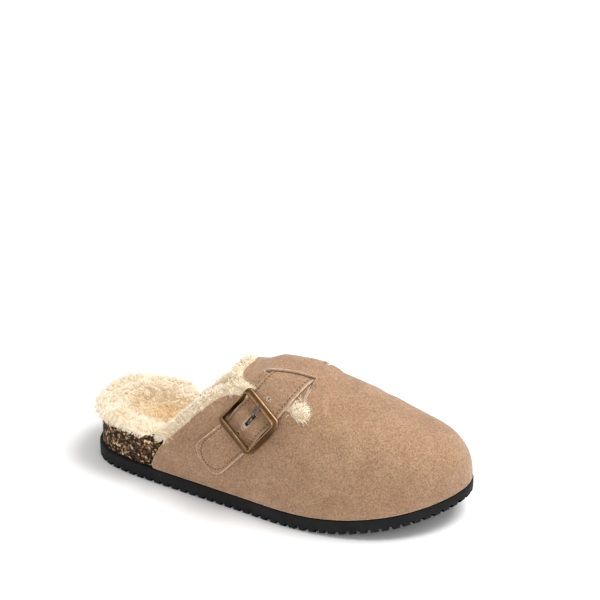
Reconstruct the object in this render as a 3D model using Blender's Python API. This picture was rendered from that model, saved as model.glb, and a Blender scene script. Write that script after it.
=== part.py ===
"""Buckled clog slipper, right shoe: rubber outsole, cork footbed body, fleece insole, suede upper
with a fleece lining, and an instep strap in a bronze buckle. Metres, +Z up, toe towards +X and the
lateral side towards -Y. The origin is under the middle of the shoe, on the floor."""

import math

import bmesh
import bpy
import numpy as np
from mathutils import Matrix, Vector
from mathutils.geometry import delaunay_2d_cdt

# Driving sizes of the last and the sole
LENGTH = 0.262
BALL_WIDTH = 0.0965
HEEL_WIDTH = 0.070
INSTEP_HEIGHT = 0.0900
TOE_SPRING = 0.0172
SPRING_START = 0.58
OUTSOLE_THICKNESS = 0.0104
OUTSOLE_TOE_THINNING = 0.0024
CLEARANCE = 0.0004

# Outsole edge notches
NOTCH_PITCH = 0.0070
NOTCH_RADIUS = 0.0017
NOTCH_RISE = 0.0011
NOTCH_DEPTH = 0.0055

# Cork body
CORK_RIM_LEDGE = 0.0075
CORK_BOWL_WIDTH = 0.014

# Fleece insole
INSOLE_PILE = 0.0070
INSOLE_RIM_PILE = 0.0032
INSOLE_OVERHANG = 0.0022
INSOLE_DRAPE = 0.0018
INSOLE_FORE_INSET = 0.0098
FLEECE_LUMP = 0.0009
BED_SPACING = 0.0095

# Suede upper and its lining
UPPER_WALL = 0.0018
UPPER_INSET = 0.0007
LINING_PILE = 0.0045
LINING_GAP = 0.0007
LINING_ROLL = 0.0062
LINING_TOE_GAP = 0.0105
KEYHOLE_RADIUS = 0.0070
SLIT_WIDTH = 0.0016
CUT_WIDTH = 0.0009

# Instep strap
STRAP_WIDTH = 0.027
STRAP_THICKNESS = 0.0022
STRAP_GAP = 0.0006
STRAP_TIP_LENGTH = 0.0095
STRAP_DIP = 0.0019
STRAP_SLOT = (-0.0032, 0.0054)

# Buckle
BUCKLE_OPENING_ALONG = 0.0235
BUCKLE_OPENING_ACROSS = 0.0284
BUCKLE_END_BAR = 0.0045
BUCKLE_SIDE_BAR = 0.0024
BUCKLE_HEIGHT = 0.0045
BUCKLE_CORNER = 0.0035
BAR_RADIUS = 0.0011
PRONG_WIDTH = 0.0022
PRONG_THICKNESS = 0.0013

LATERAL = -1
MEDIAL = 1

# Sole outline from heel back, along the lateral side to the toe and back along the medial side:
# share of the length, share of the local width
SOLE_OUTLINE = (
    (0.000, 0.000), (0.014, -0.245), (0.050, -0.400), (0.115, -0.492), (0.220, -0.530),
    (0.350, -0.515), (0.480, -0.500), (0.600, -0.512), (0.690, -0.508), (0.780, -0.460),
    (0.870, -0.355), (0.940, -0.200), (0.983, -0.035), (1.000, 0.125), (0.985, 0.280),
    (0.935, 0.410), (0.860, 0.475), (0.770, 0.500), (0.680, 0.488), (0.575, 0.440),
    (0.460, 0.390), (0.350, 0.390), (0.220, 0.465), (0.115, 0.485), (0.050, 0.400),
    (0.014, 0.245),
)

# Sections of the last: share of the length, ridge height as a share of the instep height,
# ridge offset towards medial as a share of the ball width, fullness of the section
LAST_SECTIONS = (
    (0.16, 0.940, 0.000, 2.5),
    (0.30, 0.950, 0.000, 2.3),
    (0.42, 0.965, 0.000, 2.25),
    (0.49, 0.988, 0.005, 2.25),
    (0.55, 1.000, 0.010, 2.25),
    (0.59, 0.986, 0.015, 2.3),
    (0.63, 0.958, 0.025, 2.3),
    (0.68, 0.908, 0.040, 2.35),
    (0.74, 0.845, 0.055, 2.4),
    (0.80, 0.775, 0.070, 2.4),
    (0.86, 0.715, 0.085, 2.4),
    (0.92, 0.668, 0.100, 2.4),
    (1.00, 0.610, 0.115, 2.4),
)

# Cork body: share of the length, height of the rim and of the seat above the outsole, inset of
# its side from the sole's outline
CORK_PROFILE = (
    (0.00, 0.0262, 0.0125, 0.0024),
    (0.10, 0.0256, 0.0125, 0.0024),
    (0.18, 0.0238, 0.0124, 0.0024),
    (0.22, 0.0226, 0.0122, 0.0042),
    (0.30, 0.0200, 0.0116, 0.0048),
    (0.38, 0.0176, 0.0110, 0.0046),
    (0.53, 0.0122, 0.0095, 0.0039),
    (0.68, 0.0085, 0.0080, 0.0035),
    (0.85, 0.0080, 0.0077, 0.0038),
    (0.93, 0.0079, 0.0076, 0.0046),
    (1.00, 0.0078, 0.0075, 0.0056),
)

# Edges of the upper in its pattern: share of the length, share of the half girth from the ridge
COLLAR_EDGE = (
    (0.208, 1.000), (0.218, 0.930), (0.246, 0.795), (0.292, 0.665), (0.330, 0.540),
    (0.374, 0.410), (0.398, 0.355), (0.428, 0.328), (0.460, 0.340), (0.510, 0.362),
    (0.548, 0.374), (0.583, 0.374),
)
TAB_EDGE = (
    (0.582, 0.312), (0.540, 0.292), (0.504, 0.262), (0.472, 0.232), (0.447, 0.207),
    (0.430, 0.175), (0.425, 0.125), (0.429, 0.060), (0.432, 0.000),
)
KEYHOLE = (0.612, 0.345)
SLIT_REAR = (0.487, 0.128)
SLIT_FRONT = (0.611, 0.098)

# Middle line of the strap from its tip on the lateral side over the ridge to the medial end
STRAP_LINE = (
    (0.370, -0.811), (0.432, -0.640), (0.491, -0.465), (0.539, -0.240), (0.563, 0.000),
    (0.540, 0.240), (0.495, 0.465), (0.446, 0.640), (0.396, 0.790),
)
BUCKLE_AT = 0.465

TOE_ROUND_START = 0.86
TOE_ROUND_POWER = 2.8
LAST_START = 0.165


def smooth(low, high, x):
    t = np.clip((x - low) / (high - low), 0, 1)
    return t * t * (3 - 2 * t)


def through(points, spacing, closed=False):
    """Points spaced evenly on a smooth curve through the given points."""
    p = np.asarray(points, float)
    if closed:
        p = np.vstack([p[-2:], p, p[:3]])
    else:
        p = np.vstack([2 * p[0] - p[1], p, 2 * p[-1] - p[-2]])
    knots = np.r_[0, np.cumsum(np.linalg.norm(np.diff(p, axis=0), axis=1) ** 0.5)]
    fine = []
    last = len(p) - 3 if closed else len(p) - 2
    for i in range(2 if closed else 1, last):
        t = np.linspace(knots[i], knots[i + 1], 24, endpoint=False)[:, None]
        k0, k1, k2, k3 = knots[i - 1 : i + 3]
        a1 = (k1 - t) / (k1 - k0) * p[i - 1] + (t - k0) / (k1 - k0) * p[i]
        a2 = (k2 - t) / (k2 - k1) * p[i] + (t - k1) / (k2 - k1) * p[i + 1]
        a3 = (k3 - t) / (k3 - k2) * p[i + 1] + (t - k2) / (k3 - k2) * p[i + 2]
        b1 = (k2 - t) / (k2 - k0) * a1 + (t - k0) / (k2 - k0) * a2
        b2 = (k3 - t) / (k3 - k1) * a2 + (t - k1) / (k3 - k1) * a3
        fine.append((k2 - t) / (k2 - k1) * b1 + (t - k1) / (k2 - k1) * b2)
    fine = np.vstack(fine + [p[last : last + 1]])
    run = np.r_[0, np.cumsum(np.linalg.norm(np.diff(fine, axis=0), axis=1))]
    count = max(2, round(run[-1] / spacing))
    at = np.linspace(0, run[-1], count + 1)
    if closed:
        at = at[:-1]
    return np.column_stack([np.interp(at, run, fine[:, k]) for k in range(p.shape[1])])


def sole_outline(inset=0.0, spacing=0.004):
    """The sole's plan outline, moved inwards by inset, which may vary with x."""
    shares = np.array(SOLE_OUTLINE)
    width = HEEL_WIDTH + (BALL_WIDTH - HEEL_WIDTH) * smooth(0.12, 0.60, shares[:, 0])
    ring = through(np.column_stack([shares[:, 0] * LENGTH, shares[:, 1] * width]), spacing, True)
    along = np.roll(ring, -1, 0) - np.roll(ring, 1, 0)
    along /= np.linalg.norm(along, axis=1)[:, None]
    inwards = np.column_stack([-along[:, 1], along[:, 0]])
    depth = inset(ring[:, 0]) if callable(inset) else np.full(len(ring), inset)
    return ring + inwards * depth[:, None]


def floor_rise(x):
    """Height of the outsole's underside: flat under heel and ball, then the toe spring."""
    start = SPRING_START * LENGTH
    return TOE_SPRING * (np.clip(x - start, 0, None) / (LENGTH - start)) ** 2


def sole_top(x):
    """Top of the outsole, which thins a little towards the toe."""
    thinning = OUTSOLE_TOE_THINNING / TOE_SPRING * floor_rise(x)
    return floor_rise(x) + OUTSOLE_THICKNESS - thinning


def edge_distance(x, y, ring):
    """Distance from each point to the ring of points, in plan."""
    p = np.column_stack([np.ravel(x), np.ravel(y)])
    a, b = ring, np.roll(ring, -1, 0)
    ab = b - a
    t = np.clip(((p[:, None] - a) * ab).sum(2) / (ab * ab).sum(1), 0, 1)
    gap = np.linalg.norm(p[:, None] - (a + t[..., None] * ab), axis=2)
    return gap.min(1)


def inside(points, loops):
    """Which points lie inside the loops, counting a loop within a loop as a hole."""
    p = np.asarray(points, float)
    odd = np.zeros(len(p), bool)
    for loop in loops:
        a, b = loop, np.roll(loop, -1, 0)
        for (x0, y0), (x1, y1) in zip(a, b):
            crosses = (y0 > p[:, 1]) != (y1 > p[:, 1])
            if y1 != y0:
                odd ^= crosses & (p[:, 0] < (x1 - x0) * (p[:, 1] - y0) / (y1 - y0) + x0)
    return odd


def triangulate(loops, spacing, fine_zone=None, fine_spacing=None, extra=None):
    """A flat mesh inside the loops: their own points and a grid of inner points.

    Inside fine_zone, a box of low and high corners, the inner points are closer together.
    The mesh also passes through the extra points."""
    loops = [np.asarray(loop, float) for loop in loops]
    low = np.min([loop.min(0) for loop in loops], axis=0)
    high = np.max([loop.max(0) for loop in loops], axis=0)
    inner = []
    for pitch, wanted in ((spacing, False), (fine_spacing, True)):
        if pitch is None:
            continue
        rows = int((high[1] - low[1]) / (pitch * math.sqrt(3) / 2)) + 1
        columns = int((high[0] - low[0]) / pitch) + 1
        row, column = (k.ravel() for k in np.mgrid[0:rows, 0:columns])
        grid = low + np.column_stack([
            pitch * (column + 0.5 * (row % 2)), pitch * math.sqrt(3) / 2 * (row + 0.5)
        ])
        if fine_zone is not None:
            in_zone = ((grid > fine_zone[0]) & (grid < fine_zone[1])).all(1)
            grid = grid[in_zone == wanted]
        grid = grid[inside(grid, loops)]
        for loop in loops:
            grid = grid[edge_distance(grid[:, 0], grid[:, 1], loop) > 0.55 * pitch]
        if extra is not None:
            gap = np.linalg.norm(grid[:, None] - extra[None], axis=2).min(1)
            grid = grid[gap > 0.5 * pitch]
        inner.append(grid)
    grid = np.vstack(inner if extra is None else inner + [extra])
    points, edges = [], []
    for loop in loops:
        first = len(points)
        points += [tuple(p) for p in loop]
        edges += [(first + i, first + (i + 1) % len(loop)) for i in range(len(loop))]
    points += [tuple(p) for p in grid]
    flat = [Vector(p) for p in points]
    verts, _, faces, _, _, _ = delaunay_2d_cdt(flat, edges, [], 0, 1e-7)
    verts = np.array([tuple(v) for v in verts])
    faces = np.array([tuple(f) for f in faces])
    middles = verts[faces].mean(1)
    faces = faces[inside(middles, loops)]
    a, b, c = (verts[faces[:, k]] for k in range(3))
    turn = (b[:, 0] - a[:, 0]) * (c[:, 1] - a[:, 1]) - (b[:, 1] - a[:, 1]) * (c[:, 0] - a[:, 0])
    faces[turn < 0] = faces[turn < 0][:, ::-1]
    return verts, faces


def triangulate_with_lines(loops, lines, spacing):
    """Like triangulate, with extra closed lines inside that the mesh follows."""
    rings = [np.asarray(loop, float) for loop in loops] + [np.asarray(r, float) for r in lines]
    flat, faces = [], []
    count = 0
    bounds = [rings[: len(loops)]] + [[ring] for ring in rings[len(loops) :]]
    for level, outer in enumerate(bounds):
        holes = bounds[level + 1] if level + 1 < len(bounds) else []
        verts, tris = triangulate(outer + holes, spacing)
        flat.append(verts)
        faces.append(tris + count)
        count += len(verts)
    flat = np.vstack(flat)
    faces = np.vstack(faces)
    keys = np.round(flat / 1e-7).astype(np.int64)
    _, first, back = np.unique(keys, axis=0, return_index=True, return_inverse=True)
    return flat[first], np.ravel(back)[faces]


def boundary_edges(faces):
    """Edges with one face, in that face's direction."""
    ends = np.concatenate([faces[:, [0, 1]], faces[:, [1, 2]], faces[:, [2, 0]]])
    seen = {}
    for a, b in ends.tolist():
        seen[(a, b)] = True
    return [(a, b) for a, b in seen if (b, a) not in seen]


def make_object(name, verts, faces, material):
    mesh = bpy.data.meshes.new(name)
    mesh.from_pydata([tuple(v) for v in verts], [], [tuple(f) for f in faces])
    mesh.validate()
    bm = bmesh.new()
    bm.from_mesh(mesh)
    bmesh.ops.recalc_face_normals(bm, faces=bm.faces)
    if bm.calc_volume(signed=True) < 0:
        bmesh.ops.reverse_faces(bm, faces=bm.faces)
    bm.to_mesh(mesh)
    bm.free()
    mesh.shade_smooth()
    mesh.set_sharp_from_angle(angle=math.radians(35))
    obj = bpy.data.objects.new(name, mesh)
    bpy.context.scene.collection.objects.link(obj)
    if material is not None:
        mesh.materials.append(material)
    return obj


def two_skins(flat_faces, lower, upper):
    """A closed solid from one flat mesh raised to two skins and joined round its edges."""
    count = len(lower)
    faces = [tuple(f) for f in flat_faces + count]
    faces += [tuple(f[::-1]) for f in flat_faces]
    for a, b in boundary_edges(flat_faces):
        faces.append((a, b, b + count, a + count))
    return np.vstack([lower, upper]), faces


def edge_at(ring, x, side):
    """Plan y of the ring's lateral or medial edge at each x."""
    tip = int(np.argmax(ring[:, 0]))
    heel = int(np.argmin(ring[:, 0]))
    order = np.roll(np.arange(len(ring)), -heel)
    turn = int(np.where(order == tip)[0][0])
    half = order[: turn + 1] if side == LATERAL else np.r_[order[turn:], order[:1]][::-1]
    return np.interp(x, ring[half, 0], ring[half, 1])


class Last:
    """The upper's outer surface as a grid of sections, unrolled to a flat pattern.

    Pattern X runs along the ridge and pattern Y round the girth, lateral side negative."""

    def __init__(self, stations=140, steps=60):
        ring = sole_outline(UPPER_INSET, 0.001)
        tip = int(np.argmax(ring[:, 0]))
        self.tip_x, tip_y = ring[tip]
        start = LAST_START * LENGTH
        turn = np.linspace(0, 1, stations) * math.pi / 2
        x = start + (self.tip_x - start) * np.sin(turn)
        share = x / LENGTH
        table = np.array(LAST_SECTIONS)
        ridge_table = through(table * (LENGTH, 0.1, 0.1, 0.01), 0.001)
        base = sole_top(x) + CLEARANCE
        ridge = np.interp(x, ridge_table[:, 0], ridge_table[:, 1]) * 10 * INSTEP_HEIGHT
        round_start = TOE_ROUND_START * LENGTH
        toe = np.clip((x - round_start) / (self.tip_x - round_start), 0, 1)
        rise = (ridge - base) * (1 - toe**TOE_ROUND_POWER) ** (1 / TOE_ROUND_POWER)
        across = np.interp(share, table[:, 0], table[:, 2]) * BALL_WIDTH
        fullness = np.interp(share, table[:, 0], table[:, 3])
        bend = np.linspace(0, 1, 241)[None] * math.pi / 2
        grid = np.zeros((stations, 2 * steps + 1, 3))
        self.girth = {}
        for side in (LATERAL, MEDIAL):
            edge = edge_at(ring, x, side)
            edge[-1] = tip_y
            top = across + (tip_y - across) * toe**6
            out = np.sin(bend) ** (2 / fullness[:, None])
            up = np.cos(bend) ** (2 / fullness[:, None])
            y = top[:, None] + (edge - top)[:, None] * out
            z = base[:, None] + rise[:, None] * up
            run = np.hypot(np.diff(y, axis=1), np.diff(z, axis=1)).cumsum(1)
            run = np.hstack([np.zeros((stations, 1)), run])
            self.girth[side] = run[:, -1].copy()
            for i in range(stations):
                at = np.linspace(0, run[i, -1], steps + 1)
                line = np.column_stack([
                    np.full(steps + 1, x[i]),
                    np.interp(at, run[i], y[i]),
                    np.interp(at, run[i], z[i]),
                ])
                if side == LATERAL:
                    grid[i, : steps + 1] = line[::-1]
                else:
                    grid[i, steps:] = line
        self.x = x
        self.steps = steps
        self.grid = grid
        ridge_line = grid[:, steps]
        self.run = np.r_[0, np.linalg.norm(np.diff(ridge_line, axis=0), axis=1).cumsum()]
        along = np.gradient(grid, axis=0)
        around = np.gradient(grid, axis=1)
        normal = np.cross(along, around)
        size = np.linalg.norm(normal, axis=2)
        normal[size > 0] /= size[size > 0][:, None]
        normal[-1] = (1, 0, 0)
        for _ in range(2):
            middle = normal[1:-1] * 2 + normal[:-2] + normal[2:]
            normal[1:-1] = middle / np.linalg.norm(middle, axis=2)[..., None]
        normal[:, (0, -1), 2] = np.clip(normal[:, (0, -1), 2], 0, None)
        self.normal = normal / np.linalg.norm(normal, axis=2)[..., None]

    def run_at(self, x):
        """Pattern X of a plan x."""
        return np.interp(x, self.x, self.run)

    def half_girth(self, run, side):
        return np.interp(run, self.run, self.girth[side])

    def pattern(self, shares):
        """Pattern points from rows of (share of length, share of the half girth)."""
        shares = np.asarray(shares, float)
        run = self.run_at(shares[:, 0] * LENGTH)
        girth = np.where(
            shares[:, 1] < 0, self.half_girth(run, LATERAL), self.half_girth(run, MEDIAL)
        )
        return np.column_stack([run, shares[:, 1] * girth])

    def look_up(self, pattern):
        """Surface points and outward normals at pattern points."""
        pattern = np.asarray(pattern, float)
        run = np.clip(pattern[:, 0], 0, self.run[-1])
        girth = np.where(
            pattern[:, 1] < 0, self.half_girth(run, LATERAL), self.half_girth(run, MEDIAL)
        )
        v = np.clip(pattern[:, 1] / np.maximum(girth, 1e-6), -1, 1)
        row = np.interp(run, self.run, np.arange(len(self.run)))
        column = (v + 1) * self.steps
        i = np.clip(row.astype(int), 0, self.grid.shape[0] - 2)
        j = np.clip(column.astype(int), 0, self.grid.shape[1] - 2)
        a = (row - i)[:, None]
        b = (column - j)[:, None]

        def blend(values):
            return (
                values[i, j] * (1 - a) * (1 - b)
                + values[i + 1, j] * a * (1 - b)
                + values[i, j + 1] * (1 - a) * b
                + values[i + 1, j + 1] * a * b
            )

        normal = blend(self.normal)
        normal /= np.linalg.norm(normal, axis=1)[:, None]
        return blend(self.grid), normal

    def skin(self, pattern, offset):
        """Points a given distance outside the surface."""
        points, normal = self.look_up(pattern)
        return points + normal * np.reshape(offset, (-1, 1))


def cork_height(x, column):
    """Rim (column 1) or seat (column 2) of the cork body at each x."""
    table = np.array(CORK_PROFILE)
    return sole_top(x) + np.interp(x / LENGTH, table[:, 0], table[:, column])


def cork_inset(x):
    table = np.array(CORK_PROFILE)
    return np.interp(x / LENGTH, table[:, 0], table[:, 3])


def cork_top(x, y, ring):
    """Cork surface: a ledge round the rim, then a bowl down to the seat."""
    depth = edge_distance(x, y, ring)
    down = smooth(CORK_RIM_LEDGE, CORK_RIM_LEDGE + CORK_BOWL_WIDTH, depth)
    rim = cork_height(x, 1)
    return rim + (cork_height(x, 2) - rim) * down


def lumps(a, b, pitch=0.0085):
    """A gentle uneven swell between 0 and 1, for fleece."""
    u, v = 2 * math.pi * a / pitch, 2 * math.pi * b / pitch
    swell = np.sin(u + 1.3 * np.sin(0.37 * v)) * np.sin(v + 1.1 * np.sin(0.41 * u + 1.0))
    swell += 0.6 * np.sin(1.7 * u + 0.8 * v + 0.5) * np.sin(0.9 * u - 1.6 * v)
    return np.clip(0.5 + 0.4 * swell, 0, 1)


class Strap:
    """The strap's run in the upper's pattern, with its lift over the other layers."""

    def __init__(self, last):
        self.last = last
        table = np.array(STRAP_LINE)
        self.line = through(last.pattern(table), 0.001)
        step = np.diff(self.line, axis=0)
        self.run = np.r_[0, np.linalg.norm(step, axis=1).cumsum()]
        self.length = self.run[-1]
        middle = last.pattern([(table[2][0], -BUCKLE_AT)])[0]
        self.buckle_run = self.run[np.linalg.norm(self.line - middle, axis=1).argmin()]
        self.set_buckle_frame()

    def place(self, run, across):
        """Pattern points at a run along the strap and a distance across it, + to the toe."""
        run = np.asarray(run, float)
        point = np.column_stack([np.interp(run, self.run, self.line[:, k]) for k in (0, 1)])
        before = np.column_stack([np.interp(run - 0.003, self.run, self.line[:, k]) for k in (0, 1)])
        after = np.column_stack([np.interp(run + 0.003, self.run, self.line[:, k]) for k in (0, 1)])
        along = after - before
        along /= np.linalg.norm(along, axis=1)[:, None]
        sideways = np.column_stack([along[:, 1], -along[:, 0]])
        return point + sideways * np.reshape(across, (-1, 1))

    def distance(self, pattern):
        """Distance of pattern points from the strap's middle line."""
        gap = np.linalg.norm(np.asarray(pattern)[:, None] - self.line[None], axis=2)
        return gap.min(1)

    def set_buckle_frame(self):
        """A flat frame on the upper under the buckle: origin, along, across and out."""
        run = self.buckle_run
        ends = self.place([run - 0.014, run + 0.014, run, run, run], [0, 0, -0.014, 0.014, 0])
        p, _ = self.last.look_up(ends)
        along = p[1] - p[0]
        along /= np.linalg.norm(along)
        across = p[3] - p[2]
        across -= along * across.dot(along)
        across /= np.linalg.norm(across)
        out = np.cross(along, across)
        if out[2] < 0:
            out = -out
        self.origin, self.along, self.across, self.out = p[4], along, across, out
        self.bar_height = self.highest((0.0, 0.0), (-0.0165, 0.0165), 0) + CLEARANCE + BAR_RADIUS
        need = self.bar_height + BAR_RADIUS + CLEARANCE
        b = np.linspace(-1, 1, 13) * STRAP_WIDTH / 2
        low = self.height(self.place(np.full(13, run), b), STRAP_GAP).min()
        self.hump = max(0.0, need - low)

    def height(self, pattern, offset):
        return (self.last.skin(pattern, offset) - self.origin).dot(self.out)

    def highest(self, along, across, offset):
        """Highest point, above the buckle frame's origin, of a patch of skin under it."""
        a, b = np.meshgrid(np.linspace(*along, 9), np.linspace(*across, 9))
        spots = self.place(self.buckle_run + a.ravel(), b.ravel())
        return self.height(spots, offset).max()

    def swell(self, run):
        """How far the strap rises over the buckle's bar."""
        return self.hump * (1 - smooth(0.0015, 0.0095, np.abs(run - self.buckle_run)))

    def skin(self, run, across, top):
        spots = self.place(run, across)
        offset = STRAP_GAP - dip(self.last, spots) + (STRAP_THICKNESS if top else 0)
        return self.last.skin(spots, offset) + self.out * self.swell(np.asarray(run))[:, None]


def band(last, pattern):
    """1 over the strap's width at the ridge, fading to 0 behind and ahead of it."""
    run = np.asarray(pattern)[:, 0]
    middle = last.run_at(STRAP_LINE[4][0] * LENGTH)
    rear = middle - STRAP_WIDTH / 2
    front = middle + STRAP_WIDTH / 2 + 0.0008
    return smooth(rear - 0.015, rear - 0.0005, run) * (1 - smooth(front, front + 0.014, run))


def dip(last, pattern):
    """How far the layers under the bridge are pressed down."""
    aside = np.abs(np.asarray(pattern)[:, 1])
    return STRAP_DIP * (1 - smooth(0.009, 0.016, aside)) * band(last, pattern)


def slit_line(last):
    """Rear and front end of one slit in the pattern, girth taken as positive."""
    return last.pattern([SLIT_REAR, SLIT_FRONT])


def upper_lift(last, strap, pattern):
    """Offset of the suede's outer face: up over the bridge, down where the lobes lie under the
    strap."""
    p = np.asarray(pattern, float)
    aside = np.abs(p[:, 1])
    rear, front = slit_line(last)
    hole = last.pattern([KEYHOLE])[0]
    slit = np.interp(p[:, 0], (rear[0], front[0]), (rear[1], front[1]))
    stack = STRAP_GAP + STRAP_THICKNESS + CLEARANCE + UPPER_WALL
    spread = 1 - smooth(slit, slit + 0.009, aside)
    behind = p[:, 0] < rear[0] + 0.006
    near = 1 - smooth(0.0002, 0.0060, strap.distance(p) - STRAP_WIDTH / 2)
    spread = spread * (1 - near * smooth(slit, slit + 0.003, aside) * behind)
    up = (stack - dip(last, p)) * band(last, p) * spread
    cut = np.interp(aside, (front[1], hole[1]), (front[0], hole[0]))
    on_lobe = (aside > slit) & (p[:, 0] < cut) & (p[:, 0] > rear[0])
    settle = smooth(rear[0], rear[0] + 0.0036, p[:, 0])
    return np.where(on_lobe, up * (1 - settle) - dip(last, p) * settle, up)


def upper_half(last, side, spacing):
    """One side of the suede's edge, from the feather at the rear to the ridge of the tab."""
    rear, front = slit_line(last)
    hole = last.pattern([KEYHOLE])[0]
    collar = through(last.pattern(COLLAR_EDGE), spacing)
    tab = through(last.pattern(TAB_EDGE), spacing)
    cut = front - hole
    cut_angle = math.atan2(cut[1], cut[0])
    half_cut = math.asin(CUT_WIDTH / 2 / KEYHOLE_RADIUS)

    def ring(start, end):
        steps = max(2, round(abs(end - start) * KEYHOLE_RADIUS / spacing) + 1)
        turn = np.linspace(start, end, steps + 1)
        return hole + KEYHOLE_RADIUS * np.column_stack([np.cos(turn), np.sin(turn)])

    def angle_of(point):
        return math.atan2(*(point - hole)[::-1])

    lower = angle_of(collar[-1])
    upper = angle_of(tab[0]) % (2 * math.pi)
    along = (rear - front) / np.linalg.norm(rear - front)
    out = np.array([along[1], -along[0]]) * SLIT_WIDTH / 2
    forward = np.array([math.sin(cut_angle), -math.cos(cut_angle)]) * CUT_WIDTH / 2
    if forward[0] < 0:
        forward = -forward
    steps = max(3, round(np.linalg.norm(rear - front) / spacing))
    slit = front + (rear - front) * np.linspace(0, 1, steps + 1)[1:, None]
    shares = np.linspace(0, 1, max(3, round(np.linalg.norm(cut) / spacing)) + 1)
    clear = shares[(shares * np.linalg.norm(cut) > KEYHOLE_RADIUS + 0.3 * spacing) & (shares < 0.9)]
    cut_line = hole + cut * clear[:, None]
    path = [
        collar[:-1],
        ring(lower, cut_angle + half_cut),
        cut_line + forward,
        (front + forward - out)[None],
        slit - out,
        (rear + along * SLIT_WIDTH / 2)[None],
        slit[::-1] + out,
        (front - forward + out)[None],
        cut_line[::-1] - forward,
        ring(cut_angle % (2 * math.pi) - half_cut, upper),
    ]
    path.append(tab[1:])
    points = np.vstack(path)
    points[:, 1] *= side
    return points


def feather_line(last, spacing, height=None):
    """Pattern points round the lower edge from the lateral rear by the toe to the medial rear."""
    sides = []
    for side in (LATERAL, MEDIAL):
        column = 0 if side == LATERAL else -1
        edge = last.grid[:, column]
        run = np.r_[0, np.linalg.norm(np.diff(edge, axis=0), axis=1).cumsum()]
        count = round(run[-1] / spacing)
        at = np.interp(np.linspace(0, run[-1], count + 1), run, last.run)
        y = side * last.half_girth(at, side)
        sides.append(np.column_stack([at, y]))
    return sides


def upper_loop(last, spacing):
    """The closed edge of the suede in its pattern."""
    lateral, medial = feather_line(last, spacing)
    start = last.run_at(COLLAR_EDGE[0][0] * LENGTH) + 0.4 * spacing
    lateral = lateral[lateral[:, 0] > start]
    medial = medial[medial[:, 0] > start]
    left = upper_half(last, LATERAL, spacing)
    right = upper_half(last, MEDIAL, spacing)
    return np.vstack([lateral, medial[-2::-1], right, left[-2::-1]])


def make_material(name, colour, roughness, metallic=0.0):
    material = bpy.data.materials.new(name)
    material.use_nodes = True
    shader = material.node_tree.nodes["Principled BSDF"]
    shader.inputs["Base Color"].default_value = (*colour, 1)
    shader.inputs["Roughness"].default_value = roughness
    shader.inputs["Metallic"].default_value = metallic
    return material


def slab(name, loops, low, high, spacing, material):
    """A solid over a plan outline between two height functions."""
    flat, faces = triangulate(loops, spacing)
    lower = np.column_stack([flat, low(flat[:, 0], flat[:, 1])])
    upper = np.column_stack([flat, high(flat[:, 0], flat[:, 1])])
    return make_object(name, *two_skins(faces, lower, upper), material)


def make_outsole(material):
    ring = sole_outline(0.0, 0.0045)
    outsole = slab(
        "outsole", [ring], lambda x, y: floor_rise(x), lambda x, y: sole_top(x), 0.012, material
    )
    fine = sole_outline(0.0, 0.001)
    count = round(len(fine) * 0.001 / NOTCH_PITCH)
    spots = fine[np.linspace(0, len(fine), count, endpoint=False).astype(int)]
    along = np.roll(spots, -1, 0) - np.roll(spots, 1, 0)
    along /= np.linalg.norm(along, axis=1)[:, None]
    bm = bmesh.new()
    for (x, y), (ax, ay) in zip(spots, along):
        centre = Vector((x, y, floor_rise(x) + NOTCH_RISE))
        axes = Matrix(((ax, 0, -ay), (ay, 0, ax), (0, 1, 0))).to_4x4()
        bmesh.ops.create_cone(
            bm, cap_ends=True, segments=6, radius1=NOTCH_RADIUS, radius2=NOTCH_RADIUS,
            depth=2 * NOTCH_DEPTH,
            matrix=Matrix.Translation(centre) @ axes,
        )
    mesh = bpy.data.meshes.new("notch_cutters")
    bmesh.ops.recalc_face_normals(bm, faces=bm.faces)
    bm.to_mesh(mesh)
    bm.free()
    cutters = bpy.data.objects.new("notch_cutters", mesh)
    bpy.context.scene.collection.objects.link(cutters)
    cutters.hide_render = True
    cutters.display_type = "WIRE"
    cut = outsole.modifiers.new("notches", "BOOLEAN")
    cut.operation = "DIFFERENCE"
    cut.solver = "EXACT"
    cut.object = cutters
    return outsole


def bowl_rings():
    """Plan rings down the cork bowl, shared by the cork and the fleece on it."""
    shares = (0.0, 0.33, 0.67, 1.0)
    return [
        sole_outline(lambda x: cork_inset(x) + CORK_RIM_LEDGE + share * CORK_BOWL_WIDTH, 0.0085)
        for share in shares
    ]


def make_midsole(material):
    ring = sole_outline(cork_inset, 0.0075)
    rim = sole_outline(cork_inset, 0.001)
    flat, faces = triangulate_with_lines([ring], bowl_rings(), BED_SPACING)
    x, y = flat.T
    under, under_faces = triangulate([ring], 0.024)
    lower = np.column_stack([under, sole_top(under[:, 0]) + CLEARANCE])
    upper = np.column_stack([flat, cork_top(x, y, rim)])
    match = {tuple(np.round(p / 1e-6).astype(int)): i for i, p in enumerate(under)}
    count = len(under)
    all_faces = [tuple(f[::-1]) for f in under_faces] + [tuple(f) for f in faces + count]
    for a, b in boundary_edges(faces):
        c, d = (match[tuple(np.round(flat[k] / 1e-6).astype(int))] for k in (a, b))
        all_faces.append((c, d, b + count, a + count))
    return make_object("midsole", np.vstack([lower, upper]), all_faces, material)


def insole_inset(x):
    """Insole edge from the sole's outline: over the rim at the heel, inside the lining ahead."""
    over = CORK_PROFILE[0][3] - INSOLE_OVERHANG
    return over + (INSOLE_FORE_INSET - over) * smooth(0.183, 0.221, x / LENGTH)


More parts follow.
